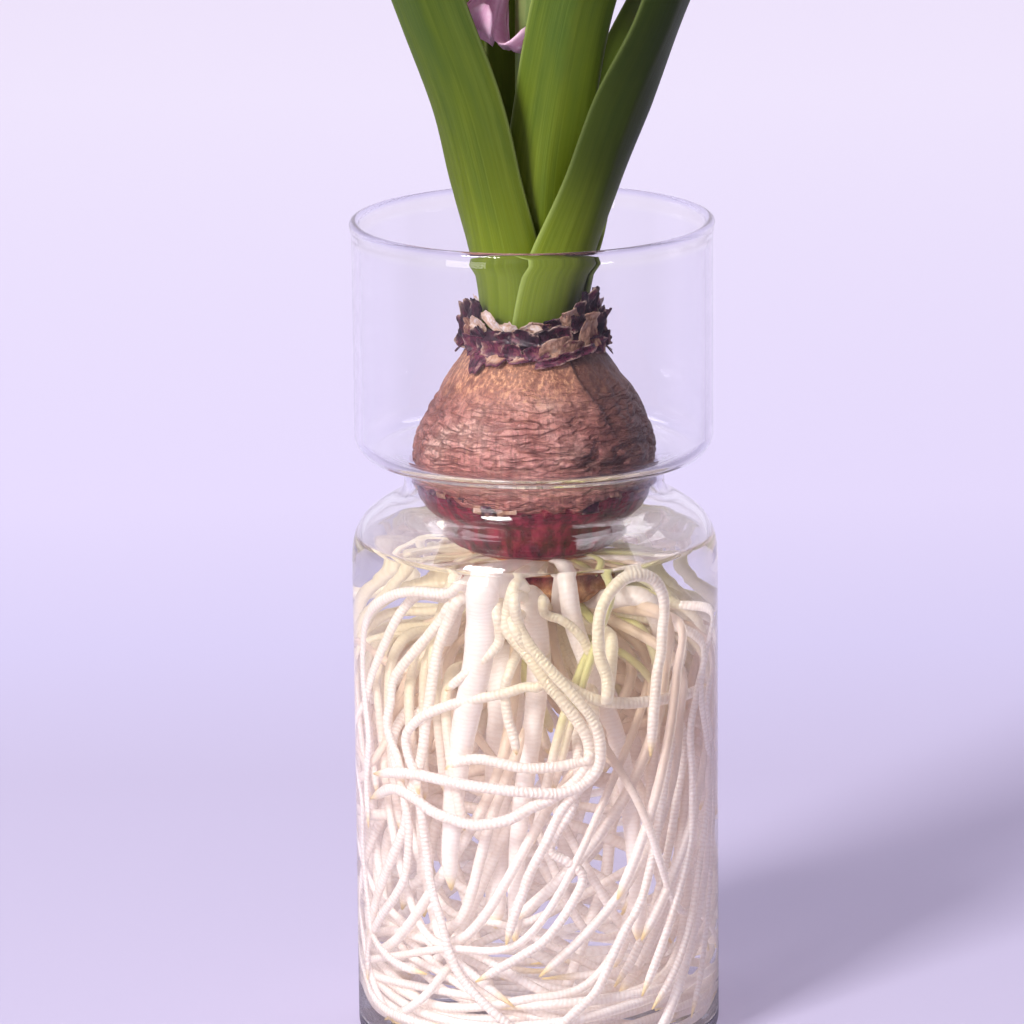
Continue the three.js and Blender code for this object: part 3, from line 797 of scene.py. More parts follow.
# Old skins round the neck: azimuth, height of the middle, width, height, tilt in degrees, outward lean,
# radius of the middle and tone. Those that show in the photograph come first.
FRONT_SKINS = [
    (-145, 161.0, 6.5, 4.2, -8, 0.1, 15.3, 0.25), (-124, 160.8, 6.6, 3.8, 4, 0.1, 15.6, 0.27),
    (-107, 160.6, 5.2, 3.4, -6, 0.1, 15.7, 0.24), (-88, 160.4, 5.5, 3.2, 6, 0.1, 15.6, 0.3),
    (-70, 161.4, 8.5, 4.6, 10, 0.2, 15.9, 0.6), (-56, 161.0, 6.5, 3.8, -14, 0.2, 16.1, 0.5),
    (-97, 163.4, 7.0, 3.4, -16, 0.1, 14.9, 0.12), (-80, 163.6, 6.0, 3.2, 12, 0.1, 14.8, 0.1),
    (-66, 164.4, 6.0, 3.6, -12, 0.2, 14.8, 0.14), (-114, 163.2, 5.5, 3.2, 10, 0.1, 14.8, 0.16),
    (-108, 164.6, 5.2, 3.0, -46, 0.2, 13.9, 0.88), (-96, 164.9, 5.4, 2.6, 28, 0.1, 13.9, 0.8),
    (-128, 166.2, 6.8, 2.6, -48, 0.2, 14.0, 0.8), (-84, 165.6, 5.5, 2.2, -8, 0.1, 13.8, 0.45),
    (-142, 165.4, 4.4, 3.2, -30, 0.25, 15.0, 0.82), (-158, 163.2, 3.4, 6.0, -10, 0.2, 15.7, 0.5),
    (-170, 164.5, 4.0, 9.0, -6, 0.15, 15.8, 0.1), (-152, 168.2, 3.2, 5.4, -16, 0.2, 14.8, 0.08),
    (-162, 167.6, 2.8, 6.0, 10, 0.2, 15.2, 0.12), (-140, 162.8, 3.6, 5.0, 24, 0.2, 15.2, 0.1),
    (178, 162.0, 4.6, 7.0, 12, 0.2, 16.0, 0.2), (-176, 160.4, 5.0, 4.6, -20, 0.2, 16.2, 0.14),
    (-57, 167.6, 4.6, 3.8, 20, 0.3, 14.6, 0.7), (-48, 168.6, 3.4, 4.8, -16, 0.2, 14.8, 0.16),
    (-40, 170.0, 2.8, 6.0, 14, 0.2, 14.6, 0.06), (-32, 170.6, 2.4, 5.6, -22, 0.3, 14.9, 0.1),
    (-24, 169.2, 2.6, 6.2, 8, 0.3, 15.2, 0.08), (-36, 166.0, 4.4, 4.4, -8, 0.3, 15.4, 0.62),
    (-44, 163.6, 2.8, 6.8, -6, 0.1, 15.8, 0.66), (-34, 163.0, 2.6, 6.6, 14, 0.1, 16.1, 0.55),
    (-24, 163.8, 3.6, 7.0, -12, 0.2, 16.1, 0.12), (-14, 165.2, 3.6, 6.6, 12, 0.2, 16.2, 0.1),
    (-6, 163.4, 4.2, 7.4, -8, 0.2, 16.2, 0.3), (-18, 167.8, 3.0, 4.6, 26, 0.4, 15.6, 0.22),
    (-50, 166.2, 4.6, 3.4, 22, 0.2, 15.2, 0.12), (-30, 160.6, 5.6, 3.6, -16, 0.2, 16.3, 0.2),
    (-12, 160.4, 5.6, 3.8, 10, 0.2, 16.4, 0.16), (-74, 166.2, 4.4, 2.6, 16, 0.2, 14.2, 0.14),
    (-62, 159.4, 7.5, 2.0, 12, 0.0, 16.6, 0.28), (-46, 160.2, 6.0, 2.0, 12, 0.0, 16.6, 0.26),
    (-78, 158.4, 6.5, 1.8, 8, 0.0, 16.8, 0.28),
]
BACK_SKINS = 34  # scraps round the far side
# The torn flap over the front of the shoulder: azimuth, lowest point, half-width, tone
SHOULDER_RAGS = [
    (-136, 153.0, 3.0, 0.22), (-122, 155.4, 4.6, 0.7), (-103, 156.4, 4.4, 0.78), (-88, 157.4, 3.4, 0.3),
    (-147, 156.6, 2.6, 0.24), (10, 154.5, 5, 0.2), (48, 155, 5.5, 0.15), (85, 154, 5, 0.3),
    (125, 155, 5.5, 0.15), (165, 154.5, 5, 0.25),
]


def skin_flake(rng, azimuth, z, width, height, tilt, lean, radius, tone):
    """One crumpled scrap of old skin that stands or lies round the neck, in metres."""
    bm, tone_layer, rim_layer = scrap(9, 9)
    seed = rng.uniform(0, 200)
    turn = math.radians(tilt)
    aside = around(azimuth, -90)
    swing = math.radians(math.copysign(48, aside)) * smoothstep(abs(aside), 35, 75)
    radius -= 1.4 * smoothstep(abs(aside), 50, 80)
    for v in bm.verts:
        s, t = v.co.x, v.co.y
        round_off = 1 - 0.16 * s * s * t * t
        ragged = 1 + 0.3 * noise.noise(Vector((s * 2.3 + seed, t * 2.3, 1))) * (abs(s) ** 3 + abs(t) ** 3)
        jag = 0.2 * noise.noise(Vector((s * 7 + seed, t * 2, 9))) * t * abs(t)
        a = s * width / 2 * round_off * ragged * (1 - 0.18 * t)
        b = (t * round_off * ragged + jag) * height / 2
        across = a * math.cos(turn) - b * math.sin(turn)
        rise = a * math.sin(turn) + b * math.cos(turn)
        crumple = 0.55 * noise.noise(Vector((a * 0.45 + seed, b * 0.45, 5)))
        crumple += 0.22 * noise.noise(Vector((a * 1.5 + seed, b * 1.5, 8)))
        curl = 0.45 * s * s * noise.noise(Vector((seed, 3, 3))) + 0.5 * abs(t) ** 3
        out = radius + lean * rise + crumple + curl
        bent = math.degrees(across * math.cos(swing) / radius)
        v.co = polar(azimuth + bent, out + across * math.sin(swing), z + rise) * MM
        v[tone_layer] = tone + 0.2 * noise.noise(Vector((s * 2 + seed, t * 2, 4)))
        v[rim_layer] = smoothstep(max(abs(s), abs(t)), 0.72, 1.0)
    bmesh.ops.solidify(bm, geom=bm.faces[:], thickness=0.38 * MM)
    return bm


def shoulder_rag(rng, azimuth, bottom, half_width, tone):
    """A torn rag of old skin that lies down over the bulb's shoulder."""
    bm, tone_layer, rim_layer = scrap(14, 12)
    seed = rng.uniform(0, 100)
    for v in bm.verts:
        u, t = v.co.x, (v.co.y + 1) / 2
        torn = 0.75 + 0.4 * noise.noise(Vector((u * 2.4, seed, 0))) + 0.2 * noise.noise(Vector((u * 7, seed, 3)))
        z = lerp(160.6, lerp(160.6, bottom, torn * (1 - 0.5 * u * u)), t)
        place = azimuth + math.degrees(half_width / 16) * u
        lift = 0.4 + 0.35 * (1 + noise.noise(Vector((u * 3 + seed, t * 3, 5)))) + 0.35 * t ** 3
        slope = Vector((bulb_radius(z - 1) - bulb_radius(z + 1), 2)).normalized()
        v.co = polar(place, bulb_radius(z) + lift * slope.y, z + lift * slope.x) * MM
        v[tone_layer] = lerp(tone, 0.24, smoothstep(max(abs(u), t), 0.72, 0.98))
        v[rim_layer] = 0.5 * smoothstep(t, 0.6, 0.8) * (1 - smoothstep(t, 0.8, 1))
    bmesh.ops.solidify(bm, geom=bm.faces[:], thickness=0.35 * MM)
    return bm


def add_neck_scales():
    rng = random.Random(7)
    bm = bmesh.new()
    tone_layer = bm.verts.layers.float.new("tone")
    bm.verts.layers.float.new("rim")
    collar = turned([(0, 160.2), (12.4, 160.2), (14.4, 159.6), (15.1, 161), (14.7, 163.8), (13.4, 164.6),
                     (12.7, 163.6), (0, 163.2)], 64)
    for v in collar.verts:
        v.co += Vector((v.co.x, v.co.y, 0)) * 0.03 * noise.noise(v.co * 500)
    join_into(bm, collar)
    for v in bm.verts:
        v[tone_layer] = 0.12
    for skin in FRONT_SKINS:
        join_into(bm, skin_flake(rng, *skin))
    for i in range(BACK_SKINS):
        tone = rng.choice((0.08, 0.12, 0.2, 0.28, 0.55, 0.7, 0.9))
        join_into(bm, skin_flake(rng, 2 + 172 * (i + rng.random()) / BACK_SKINS, rng.uniform(160.5, 167.5),
                                 rng.uniform(3, 6), rng.uniform(3.4, 7), rng.uniform(-25, 25),
                                 rng.uniform(0.05, 0.3), rng.uniform(14.6, 16.1), tone))
    for rag in SHOULDER_RAGS:
        join_into(bm, shoulder_rag(rng, *rag))
    bmesh.ops.recalc_face_normals(bm, faces=bm.faces)
    subdivide(piece("neck_skins", bm, dry_scale(), ["neck_scales"]))


# ---- Leaves ----

LEAF_BASE_Z = 156.2
LEAF_HALF_WIDTH = 9.8
SHEATH_HALF_WIDTH = 12.5
INNER_SHEATH_HALF_WIDTH = 8.5
LEAF_THICKNESS = 0.9
BLADE_BEND = 17  # radius of the channel across a free blade
IMBRICATION = 1.35  # radial drop in mm from one margin of a sheath to the other, per radian of wrap
OUTER_LEAVES = {  # [azimuth, radius, height, azimuth that the outside faces] along the middle
    "leaf_left": [(-134, 10.4, LEAF_BASE_Z, -134), (-134, 10.6, 165, -134), (-132, 12.5, 181, -126),
                  (-135, 20.8, 212, -118), (-138, 29.8, 235, -121), (-138, 43, 264, -126),
                  (-138, 54, 300, -130)],
    "leaf_right": [(-46, 10.4, LEAF_BASE_Z, -46), (-46, 10.7, 164, -46), (-42, 15.2, 181, -50),
                   (-33, 24.8, 211, -48), (-31, 35.8, 235, -36), (-30, 47, 264, -34), (-30, 60, 296, -34)],
    "leaf_back_right": [(45, 10.4, LEAF_BASE_Z, 45), (45, 10.7, 164, 45), (43, 15.2, 181, 44),
                        (33, 23, 211, 26), (21, 29.8, 234, 12), (17, 39, 262, 10), (16, 50, 296, 12)],
    "leaf_back_left": [(138, 10.4, LEAF_BASE_Z, 138), (138, 10.6, 166, 138), (140, 12.7, 181, 140),
                       (141, 18.5, 211, 141), (144, 27, 235, 144), (146, 39.5, 262, 146),
                       (146, 49, 302, 146)],
}
INNER_LEAVES = {
    "leaf_front": [(-75, 7.3, LEAF_BASE_Z, -75), (-75, 7.4, 172, -75), (-72, 9, 195, -80),
                   (-65, 12.2, 213, -86), (-62, 19.8, 235, -84), (-63, 33, 258, -66), (-63, 42, 296, -63)],
    "leaf_back": [(95, 7.3, LEAF_BASE_Z, 95), (95, 7.4, 172, 95), (95, 9, 195, 95), (95, 12.2, 213, 95),
                  (95, 19.5, 235, 95), (95, 31, 260, 95), (95, 39, 290, 95)],
}
PAINTED_LEAF_SHADE = {"leaf_left": 0.28, "leaf_right": 0.72, "leaf_back_right": 0.4, "leaf_back_left": 0.2, "leaf_front": 0.0,
        "leaf_back": 0.3}  # painted shade: how much darker each blade is coloured above its sheath, most where it turns from the light


def facing_at(midline, height):
    """The azimuth that a leaf's outside faces at a height."""
    for (_, _, z0, facing0), (_, _, z1, facing1) in zip(midline, midline[1:]):
        if z0 <= height <= z1:
            return lerp(facing0, facing1, smoothstep(height, z0, z1))
    return midline[0 if height < midline[0][2] else -1][3]


def leaf(name, midline, base_half_width, imbrication, material):
    """A channelled strap leaf: sheathing at the base, flatter above, with a blunt hooded tip."""
    line = even_line([polar(azimuth, radius, z) for azimuth, radius, z, _ in midline], 1.5)
    last = len(line) - 1
    bm = bmesh.new()
    bm.loops.layers.uv.verify()
    margin = bm.verts.layers.float.new("margin")
    painted_leaf_shade = bm.verts.layers.float.new("painted_leaf_shade")
    bmesh.ops.create_grid(bm, x_segments=20, y_segments=last, size=1, calc_uvs=True)
    seed = sum(map(ord, name))
    for v in bm.verts:
        u, row = v.co.x, round((v.co.y + 1) / 2 * last)
        t = row / last
        centre = line[row]
        along = (line[min(row + 1, last)] - line[max(row - 1, 0)]).normalized()
        out = polar(facing_at(midline, centre.z), 1, 0)
        out = (out - along * out.dot(along)).normalized()
        side = along.cross(out)
        sheath = smoothstep(centre.z, 168, 200)
        tip = math.sqrt(max(1 - smoothstep(t, 0.72, 1.0) ** 2.2, 0.0004))
        half_width = lerp(base_half_width, LEAF_HALF_WIDTH, sheath) * tip
        bend = lerp(midline[0][1], BLADE_BEND - 8 * smoothstep(t, 0.86, 1), smoothstep(centre.z, 172, 225))
        drop = imbrication * (1 - smoothstep(centre.z, 196, 214))
        angle = u * half_width / bend
        keel = 0.5 * (1 - abs(u)) ** 3 * sheath
        wave = 0.3 * sheath * abs(u) ** 3 * math.sin(centre.z * 0.12 + 2 * u + seed)
        reach = bend - drop * angle + keel + wave
        v.co = (centre + side * reach * math.sin(angle) + out * (reach * math.cos(angle) - bend)) * MM
        v[margin] = smoothstep(abs(u), 0.965, 1.0)
        # painted shade: each blade's share of darkening, growing above its sheath
        v[painted_leaf_shade] = PAINTED_LEAF_SHADE[name] * smoothstep(centre.z, 178, 205)
    bmesh.ops.recalc_face_normals(bm, faces=bm.faces)
    centre = line[last // 2] * MM
    middle = min(bm.faces, key=lambda f: (f.calc_center_median() - centre).length)
    if middle.normal.dot(Vector((centre.x, centre.y, 0))) < 0:
        bmesh.ops.reverse_faces(bm, faces=bm.faces)
    bmesh.ops.solidify(bm, geom=bm.faces[:], thickness=LEAF_THICKNESS * MM)
    bmesh.ops.recalc_face_normals(bm, faces=bm.faces)
    subdivide(piece("blade_" + name, bm, material, [name]))


def add_leaves():
    material = leaf_green()
    for name, midline in OUTER_LEAVES.items():
        leaf(name, midline, SHEATH_HALF_WIDTH, IMBRICATION, material)
    for name, midline in INNER_LEAVES.items():
        leaf(name, midline, INNER_SHEATH_HALF_WIDTH, 0, material)


# ---- Flower ----

STALK_RADIUS = 3.5
HEAD_BASE_Z = 250
HEAD_TOP_Z = 316
FLORETS = 38
GOLDEN_ANGLE = 137.508
DROOPING = dict(azimuth=-150, z=252.5, elevation=-64, size=1.15, spin=35)
FLORET_OUTLINE = [  # [radius, length] of a lobe's middle line, from the floret's stalk to its tip
    (0.8, 4.6), (2.3, 6.2), (2.9, 9), (2.6, 12), (3.0, 15), (4.4, 18.6), (7.2, 21.3), (10.4, 21.2),
    (12.4, 18.8), (12.6, 16.4),
]
TUBE_ROWS = 4.3  # how far along the outline the tube reaches before the lobes part
TIGHT_SHARE = 0.45  # how far the drooping floret has opened


def floret_frame(azimuth, z, elevation):
    """A floret's foot in mm on the stalk, the way it points, and its two crosswise directions."""
    axis = polar(azimuth, math.cos(math.radians(elevation)), math.sin(math.radians(elevation)))
    side = polar(azimuth + 90, 1, 0)
    return polar(azimuth, 1.5, z), axis, side, axis.cross(side)


def floret(azimuth, z, elevation, size, spin, open_share):
    """One floret: six petals that make a tube together and curl back above it, in metres."""
    root, axis, side, up = floret_frame(azimuth, z, elevation)
    outline = smooth_line([(*p, 0) for p in FLORET_OUTLINE], 2)
    last = len(outline) - 1
    whole = bmesh.new()
    for petal in range(6):
        bm = bmesh.new()
        bm.loops.layers.uv.verify()
        middle_layer = bm.verts.layers.float.new("middle")
        length_layer = bm.verts.layers.float.new("length")
        bmesh.ops.create_grid(bm, x_segments=6, y_segments=last, size=1, calc_uvs=True)
        inner = petal % 2
        for v in bm.verts:
            u, row = v.co.x, round((v.co.y + 1) / 2 * last)
            t = row / last
            r, length = outline[row].x, outline[row].y
            parted = smoothstep(row / 2, TUBE_ROWS - 0.6, TUBE_ROWS + 1.6)
            lobe_t = max((row / 2 - TUBE_ROWS) / (len(FLORET_OUTLINE) - 1 - TUBE_ROWS), 0)
            curl = lerp(0.55, 1.0, open_share)
            if lobe_t > 0:
                r = lerp(4.0, r, curl) * (0.96 if inner else 1.0)
                length += (1 - curl) * 5 * lobe_t + (0.5 if inner else 0.0)
            half = 2.9 * math.sqrt(max(1 - (2 * max(lobe_t - 0.42, 0)) ** 2.2 / 1.38, 0.02))
            width = lerp(max(r, 0.1) * math.tan(math.radians(30)), half, parted)
            angle = math.radians(spin + 60 * petal)
            if parted < 1:
                around = angle + math.radians(30) * u
                tube = Vector((r * math.cos(around), r * math.sin(around), length))
            else:
                tube = Vector((0, 0, 0))
            cupped = 0.9 * u * u * math.sin(math.pi * min(lobe_t, 1)) * (1 - 2 * inner * 0.2)
            lobe = Vector((r, width * u, length + cupped))
            lobe.x -= 0.35 * u * u * parted
            lobe = Matrix.Rotation(angle, 3, "Z") @ lobe
            local = tube.lerp(lobe, parted) if parted < 1 else lobe
            v.co = (root + (side * local.x + up * local.y + axis * local.z) * size) * MM
            v[middle_layer] = (1 - smoothstep(abs(u), 0.0, 0.75)) * (1 if t > 0.1 else 0.5)
            v[length_layer] = t
        join_into(whole, bm)
    bmesh.ops.remove_doubles(whole, verts=whole.verts, dist=0.02 * MM)
    bmesh.ops.recalc_face_normals(whole, faces=whole.faces)
    bmesh.ops.solidify(whole, geom=whole.faces[:], thickness=0.32 * MM)
    return whole


def pedicel(azimuth, z, elevation, size):
    """The short stalk of one floret."""
    root, axis, _, _ = floret_frame(azimuth, z, elevation)
    points = [root * MM, (root + axis * 3 * size) * MM, (root + axis * 5.6 * size) * MM]
    return strand(points, lambda t: (1.0 + 0.9 * t * t) * size * MM, 10)


def anthers(azimuth, z, elevation, size, spin):
    """Six small anthers in the throat."""
    root, axis, side, up = floret_frame(azimuth, z, elevation)
    whole = bmesh.new()
    for i in range(6):
        angle = math.radians(spin + 60 * i)
        out = side * math.cos(angle) + up * math.sin(angle)
        low = root + (axis * 13.2 + out * 1.5) * size
        high = root + (axis * 16.2 + out * 1.7) * size
        path = [low * MM, low.lerp(high, 0.5) * MM, high * MM]
        join_into(whole, strand(path, lambda t: (0.2 + 0.35 * math.sin(math.pi * (0.1 + 0.8 * t))) * size * MM, 6))
    return whole


def floret_places():
    """Azimuth, height, elevation, size and spin of each floret, in a rising spiral."""
    rng = random.Random(5)
    places = [DROOPING]
    for i in range(FLORETS):
        share = i / (FLORETS - 1)
        places.append(dict(
            azimuth=DROOPING["azimuth"] + (i + 1) * GOLDEN_ANGLE,
            z=lerp(HEAD_BASE_Z, HEAD_TOP_Z, share ** 0.94),
            elevation=lerp(2, 22, share) + 56 * smoothstep(share, 0.74, 1) + rng.uniform(-6, 6),
            size=lerp(1.04, 0.74, smoothstep(share, 0.55, 1)),
            spin=rng.uniform(0, 60),
        ))
    return places


def add_flower():
    petals, stalk, pollen = bmesh.new(), bmesh.new(), bmesh.new()
    axis_line = even_line([polar(0, 0, 156.4), polar(0, 0, 200), polar(30, 0.3, 250), polar(0, 0, HEAD_TOP_Z)], 3)
    join_into(stalk, strand([p * MM for p in axis_line],
                            lambda t: STALK_RADIUS * (1 - 0.62 * smoothstep(t, 0.55, 1)) * MM, 24))
    for place in floret_places():
        share = (place["z"] - HEAD_BASE_Z) / (HEAD_TOP_Z - HEAD_BASE_Z)
        open_share = TIGHT_SHARE if place is DROOPING else 1 - 0.85 * smoothstep(share, 0.8, 1.0)
        join_into(petals, floret(**place, open_share=open_share))
        spin = place["spin"]
        rest = {key: value for key, value in place.items() if key != "spin"}
        join_into(stalk, pedicel(**rest))
        join_into(pollen, anthers(**rest, spin=spin))
    piece("florets", petals, petal_pink(), ["flower_head"])
    piece("flower_axis", stalk, stalk_green(), ["flower_stalk"])
    piece("anthers", pollen, anther_cream())


# ---- Roots ----

WATER_INDEX = 1.333  # how strongly water bends light
INNER_RADIUS = BODY_RADIUS - GLASS
ROOT_SWELL = 1.08  # how much thicker the front roots are made than listed


def seen_in_water(x, y, depth):
    """The point in mm that shows at a picture place through the glass body, depth mm behind its wall."""
    right, up, forward = camera_axes()
    focal = LENS / SENSOR * PICTURE_SIDE
    middle = PICTURE_SIDE / 2
    ray = (forward + right * ((x - middle) / focal) - up * ((y - middle) / focal)).normalized()
    start = CAMERA_AT / MM
    flat, towards = ray.xy.length, start.xy
    along = ray.xy.normalized()
    nearest = -towards.dot(along)
    miss = (towards + along * nearest).length
    reach = nearest - math.sqrt(max(BODY_RADIUS ** 2 - miss ** 2, 0))
    hit = start + ray * (reach / flat)
    normal = Vector((hit.x, hit.y, 0)).normalized()
    cosine = -ray.dot(normal)
    ratio = 1 / WATER_INDEX
    bent = ray * ratio + normal * (ratio * cosine - math.sqrt(1 - ratio ** 2 * (1 - cosine ** 2)))
    return hit + bent * depth


def keep_in_glass(point, radius):
    """Moves a point in mm clear of the glass's wall and floor."""
    limit = INNER_RADIUS - radius - 0.5
    flat = point.xy.length
    if flat > limit:
        point = Vector((point.x * limit / flat, point.y * limit / flat, point.z))
    return Vector((point.x, point.y, max(point.z, BASE_THICKNESS + radius + 0.4)))


# Roots along the front of the glass, as picture places that they pass, each with a radius in mm,
# the depth behind the wall at the start and end, and the azimuth where they leave the bulb.
FRONT_ROOTS = [
    (1.05, 9, 4, -115, [(462, 587), (448, 594), (414, 592), (393, 595), (375, 606), (366, 622), (363, 646),
                        (363, 675), (366, 709), (369, 740), (366, 780), (368, 830)]),
    (1.15, 10, 6, -112, [(463, 598), (449, 620), (439, 646), (434, 671), (430, 698), (426, 722), (423, 749),
                         (418, 772), (409, 800), (405, 827), (392, 858), (381, 886), (373, 914), (368, 943)]),
    (1.05, 12, 7, -120, [(457, 601), (441, 620), (428, 636), (414, 652), (401, 668), (393, 681), (391, 702),
                         (387, 722), (391, 741), (399, 762), (404, 795)]),
    (1.0, 14, 8, -130, [(430, 596), (414, 598), (398, 617), (387, 639), (377, 662), (369, 686), (366, 710)]),
    (1.05, 8, 5, -85, [(545, 680), (524, 687), (505, 693), (481, 698), (457, 703), (441, 708), (420, 718),
                       (406, 736), (409, 758), (416, 775), (420, 800)]),
    (1.0, 8, 6, -92, [(498, 605), (500, 639), (489, 655), (469, 671), (450, 687), (442, 694)]),
    (1.0, 9, 8, -85, [(511, 668), (505, 690), (508, 719), (514, 738), (517, 756)]),
    (1.2, 7, 3.5, -88, [(517, 585), (508, 610), (506, 627), (517, 643), (530, 658), (546, 682), (562, 701),
                        (578, 722), (588, 741), (588, 762), (576, 781), (555, 797), (530, 808), (508, 820),
                        (477, 825), (454, 820), (432, 811), (412, 797), (391, 789), (368, 799)]),
    (1.15, 5, 3, -84, [(515, 596), (519, 626), (532, 648), (554, 674), (575, 697), (594, 722), (600, 745),
                       (598, 768), (584, 784), (560, 793), (525, 792), (504, 790), (473, 786), (441, 780),
                       (417, 775), (393, 773), (369, 774)]),
    (1.2, 6, 9, -80, [(513, 620), (530, 652), (546, 668), (562, 682), (583, 695), (602, 701), (626, 703),
                      (650, 701), (669, 698), (690, 693), (706, 684)]),
    (1.1, 5, 7, -70, [(590, 755), (578, 762), (554, 767), (524, 768), (504, 764), (481, 759), (460, 761),
                      (441, 772)]),
    (1.25, 5, 6, -60, [(607, 700), (607, 678), (600, 658), (598, 636), (600, 614), (608, 595), (622, 581),
                       (638, 576), (653, 580), (662, 593), (664, 611), (662, 630), (661, 652), (657, 671),
                       (655, 694), (653, 718), (650, 760)]),
    (0.95, 12, 14, -78, [(543, 600), (545, 614), (562, 620), (578, 633), (588, 649), (590, 662), (583, 681)]),
    (1.0, 6, 4, -100, [(418, 790), (426, 847), (432, 889), (441, 920), (449, 951), (462, 978), (482, 1001),
                       (508, 1024), (540, 1045)]),
    (1.0, 6, 5, -70, [(575, 800), (550, 847), (568, 862), (583, 877), (569, 908), (546, 939), (526, 953),
                      (500, 968), (470, 985)]),
    (1.0, 5, 5, -75, [(590, 770), (561, 811), (546, 842), (530, 873), (522, 895), (513, 920), (505, 950)]),
    (1.0, 7, 4, -55, [(668, 760), (655, 840), (642, 898), (626, 928), (611, 959), (597, 990), (577, 1010),
                      (553, 1030), (520, 1046)]),
    (1.0, 6, 4, -130, [(404, 796), (409, 831), (406, 873), (395, 897), (381, 917), (368, 945), (367, 985)]),
    (1.0, 12, 8, -45, [(672, 700), (684, 740), (676, 800), (668, 850), (654, 905), (634, 955), (612, 990)]),
    (1.0, 6, 5, -35, [(700, 640), (697, 690), (690, 730), (692, 780), (690, 840), (676, 900), (658, 955),
                      (640, 1000)]),
    (1.0, 5, 5, -30, [(707, 700), (712, 760), (704, 830), (697, 880), (688, 930), (672, 975), (648, 1015)]),
    (1.0, 3, 5, -25, [(712, 610), (708, 650), (702, 690), (708, 740), (714, 790), (712, 860), (707, 920),
                      (700, 975), (690, 1020)]),
    (0.95, 4, 4, -150, [(361, 800), (362, 850), (367, 900), (372, 935), (395, 962), (430, 975)]),
    (1.0, 4, 4, -140, [(366, 980), (380, 1005), (410, 1020), (450, 1028)]),
]

# Thick roots that hang straight down, as picture places, with radius at the top and near the tip.
THICK_ROOTS = [
    (3.9, 1.6, 9, 9, -98, [(486, 585), (482, 622), (478, 661), (468, 709), (459, 757), (454, 795),
                           (452, 827), (450, 858), (452, 896)]),
    (1.9, 1.9, 19, 9, -66, [(566, 583), (574, 625), (594, 680), (614, 730), (625, 775), (632, 827),
                            (636, 867), (638, 905), (639, 945)]),
    (4.0, 1.8, 27, 18, 80, [(506, 700), (502, 750), (498, 820), (496, 880), (496, 930)]),
    (2.3, 1.4, 38, 40, -60, [(590, 600), (585, 680), (575, 760), (568, 830), (567, 888)]),
    (2.6, 1.3, 26, 30, -120, [(455, 600), (440, 680), (432, 760), (426, 840), (424, 922)]),
    (2.1, 1.4, 22, 30, -35, [(645, 600), (668, 650), (685, 720), (690, 800), (684, 880), (670, 940)]),
    (2.4, 1.4, 16, 14, -86, [(530, 600), (538, 640), (536, 700), (528, 760), (520, 820), (516, 880), (515, 945)]),
]


def front_root(radius, near, far, azimuth, places):
    """A path in metres from the bulb to and along the picture places."""
    count = len(places) - 1
    seen = [seen_in_water(x, y, lerp(near, far, i / count)) for i, (x, y) in enumerate(places)]
    start = polar(azimuth, 10.5, CROWN_Z)
    path = [start]
    if seen[0].z < CROWN_Z - 14:  # its top is hidden, so it comes down behind the others first
        behind = seen[0] + Vector((0, 9, 12))
        path.append(start.lerp(behind, 0.4) + Vector((0, 2, -2)))
        path.append(behind)
    path += [keep_in_glass(point, radius) for point in seen]
    return [point * MM for point in even_line(path, 1.6)]


BACK_ROOTS = 36  # that wander behind the front ones
FLOOR_ROOTS = 19  # that reach the floor of the glass
LOW_ROOTS = 16  # that circle low down along the wall
SWEEPING_ROOTS = 9  # side by side down the right side of the wall
CROWN_ROOTS = 30  # short young ones under the basal plate
SPREADING_ROOTS = 54  # that spread from the basal plate to the wall


def stand_back(point, front=-9):
    """Moves a point that lies far in front back, so that the front roots stay in view."""
    if point.y < front and point.z > 26:
        return Vector((point.x, front + (point.y - front) * 0.25, point.z))
    return point


def filler_root(rng, radius):
    """A path in metres of a root that wanders from the bulb to the wall and round it."""
    azimuth = rng.uniform(0, 360)
    start = rng.uniform(4, 12.5)
    wall = rng.uniform(20, 35.5)
    turn = rng.choice((-1, 1)) * rng.uniform(30, 300)
    low = 6 + 62 * rng.random() ** 1.9
    phase = rng.uniform(0, 6)
    points = [polar(azimuth, start, CROWN_Z)]
    steps = 9
    for i in range(1, steps + 1):
        t = i / steps
        out = lerp(start, wall, smoothstep(t, 0, 0.4)) + 2.2 * math.sin(8 * t + phase)
        z = lerp(CROWN_Z - 5, low, t ** rng.uniform(0.7, 1.15)) + 5 * math.sin(6 * t + phase * 2) * (1 - t)
        points.append(stand_back(keep_in_glass(polar(azimuth + turn * t ** 1.3, out, min(z, 108)), radius)))
    return [point * MM for point in even_line(points, 2.2)]


def floor_root(rng, radius):
    """A path in metres of a root that has reached the floor of the glass and circles there."""
    azimuth = rng.uniform(0, 360)
    turn = rng.choice((-1, 1)) * rng.uniform(120, 320)
    wall = rng.uniform(24, 36.5)
    low = 4.8 + 16 * rng.random() ** 2.4
    points = [polar(azimuth, 9, CROWN_Z), polar(azimuth, 24, 88), polar(azimuth + 0.15 * turn, wall, 60)]
    for i in range(7):
        t = i / 6
        points.append(keep_in_glass(polar(azimuth + turn * (0.25 + 0.75 * t), wall - 9 * t * rng.random(),
                                          lerp(34, low, smoothstep(t, 0, 0.7)) + 2.5 * math.sin(5 * t + azimuth)),
                                    radius))
    return [point * MM for point in even_line(points, 2.4)]


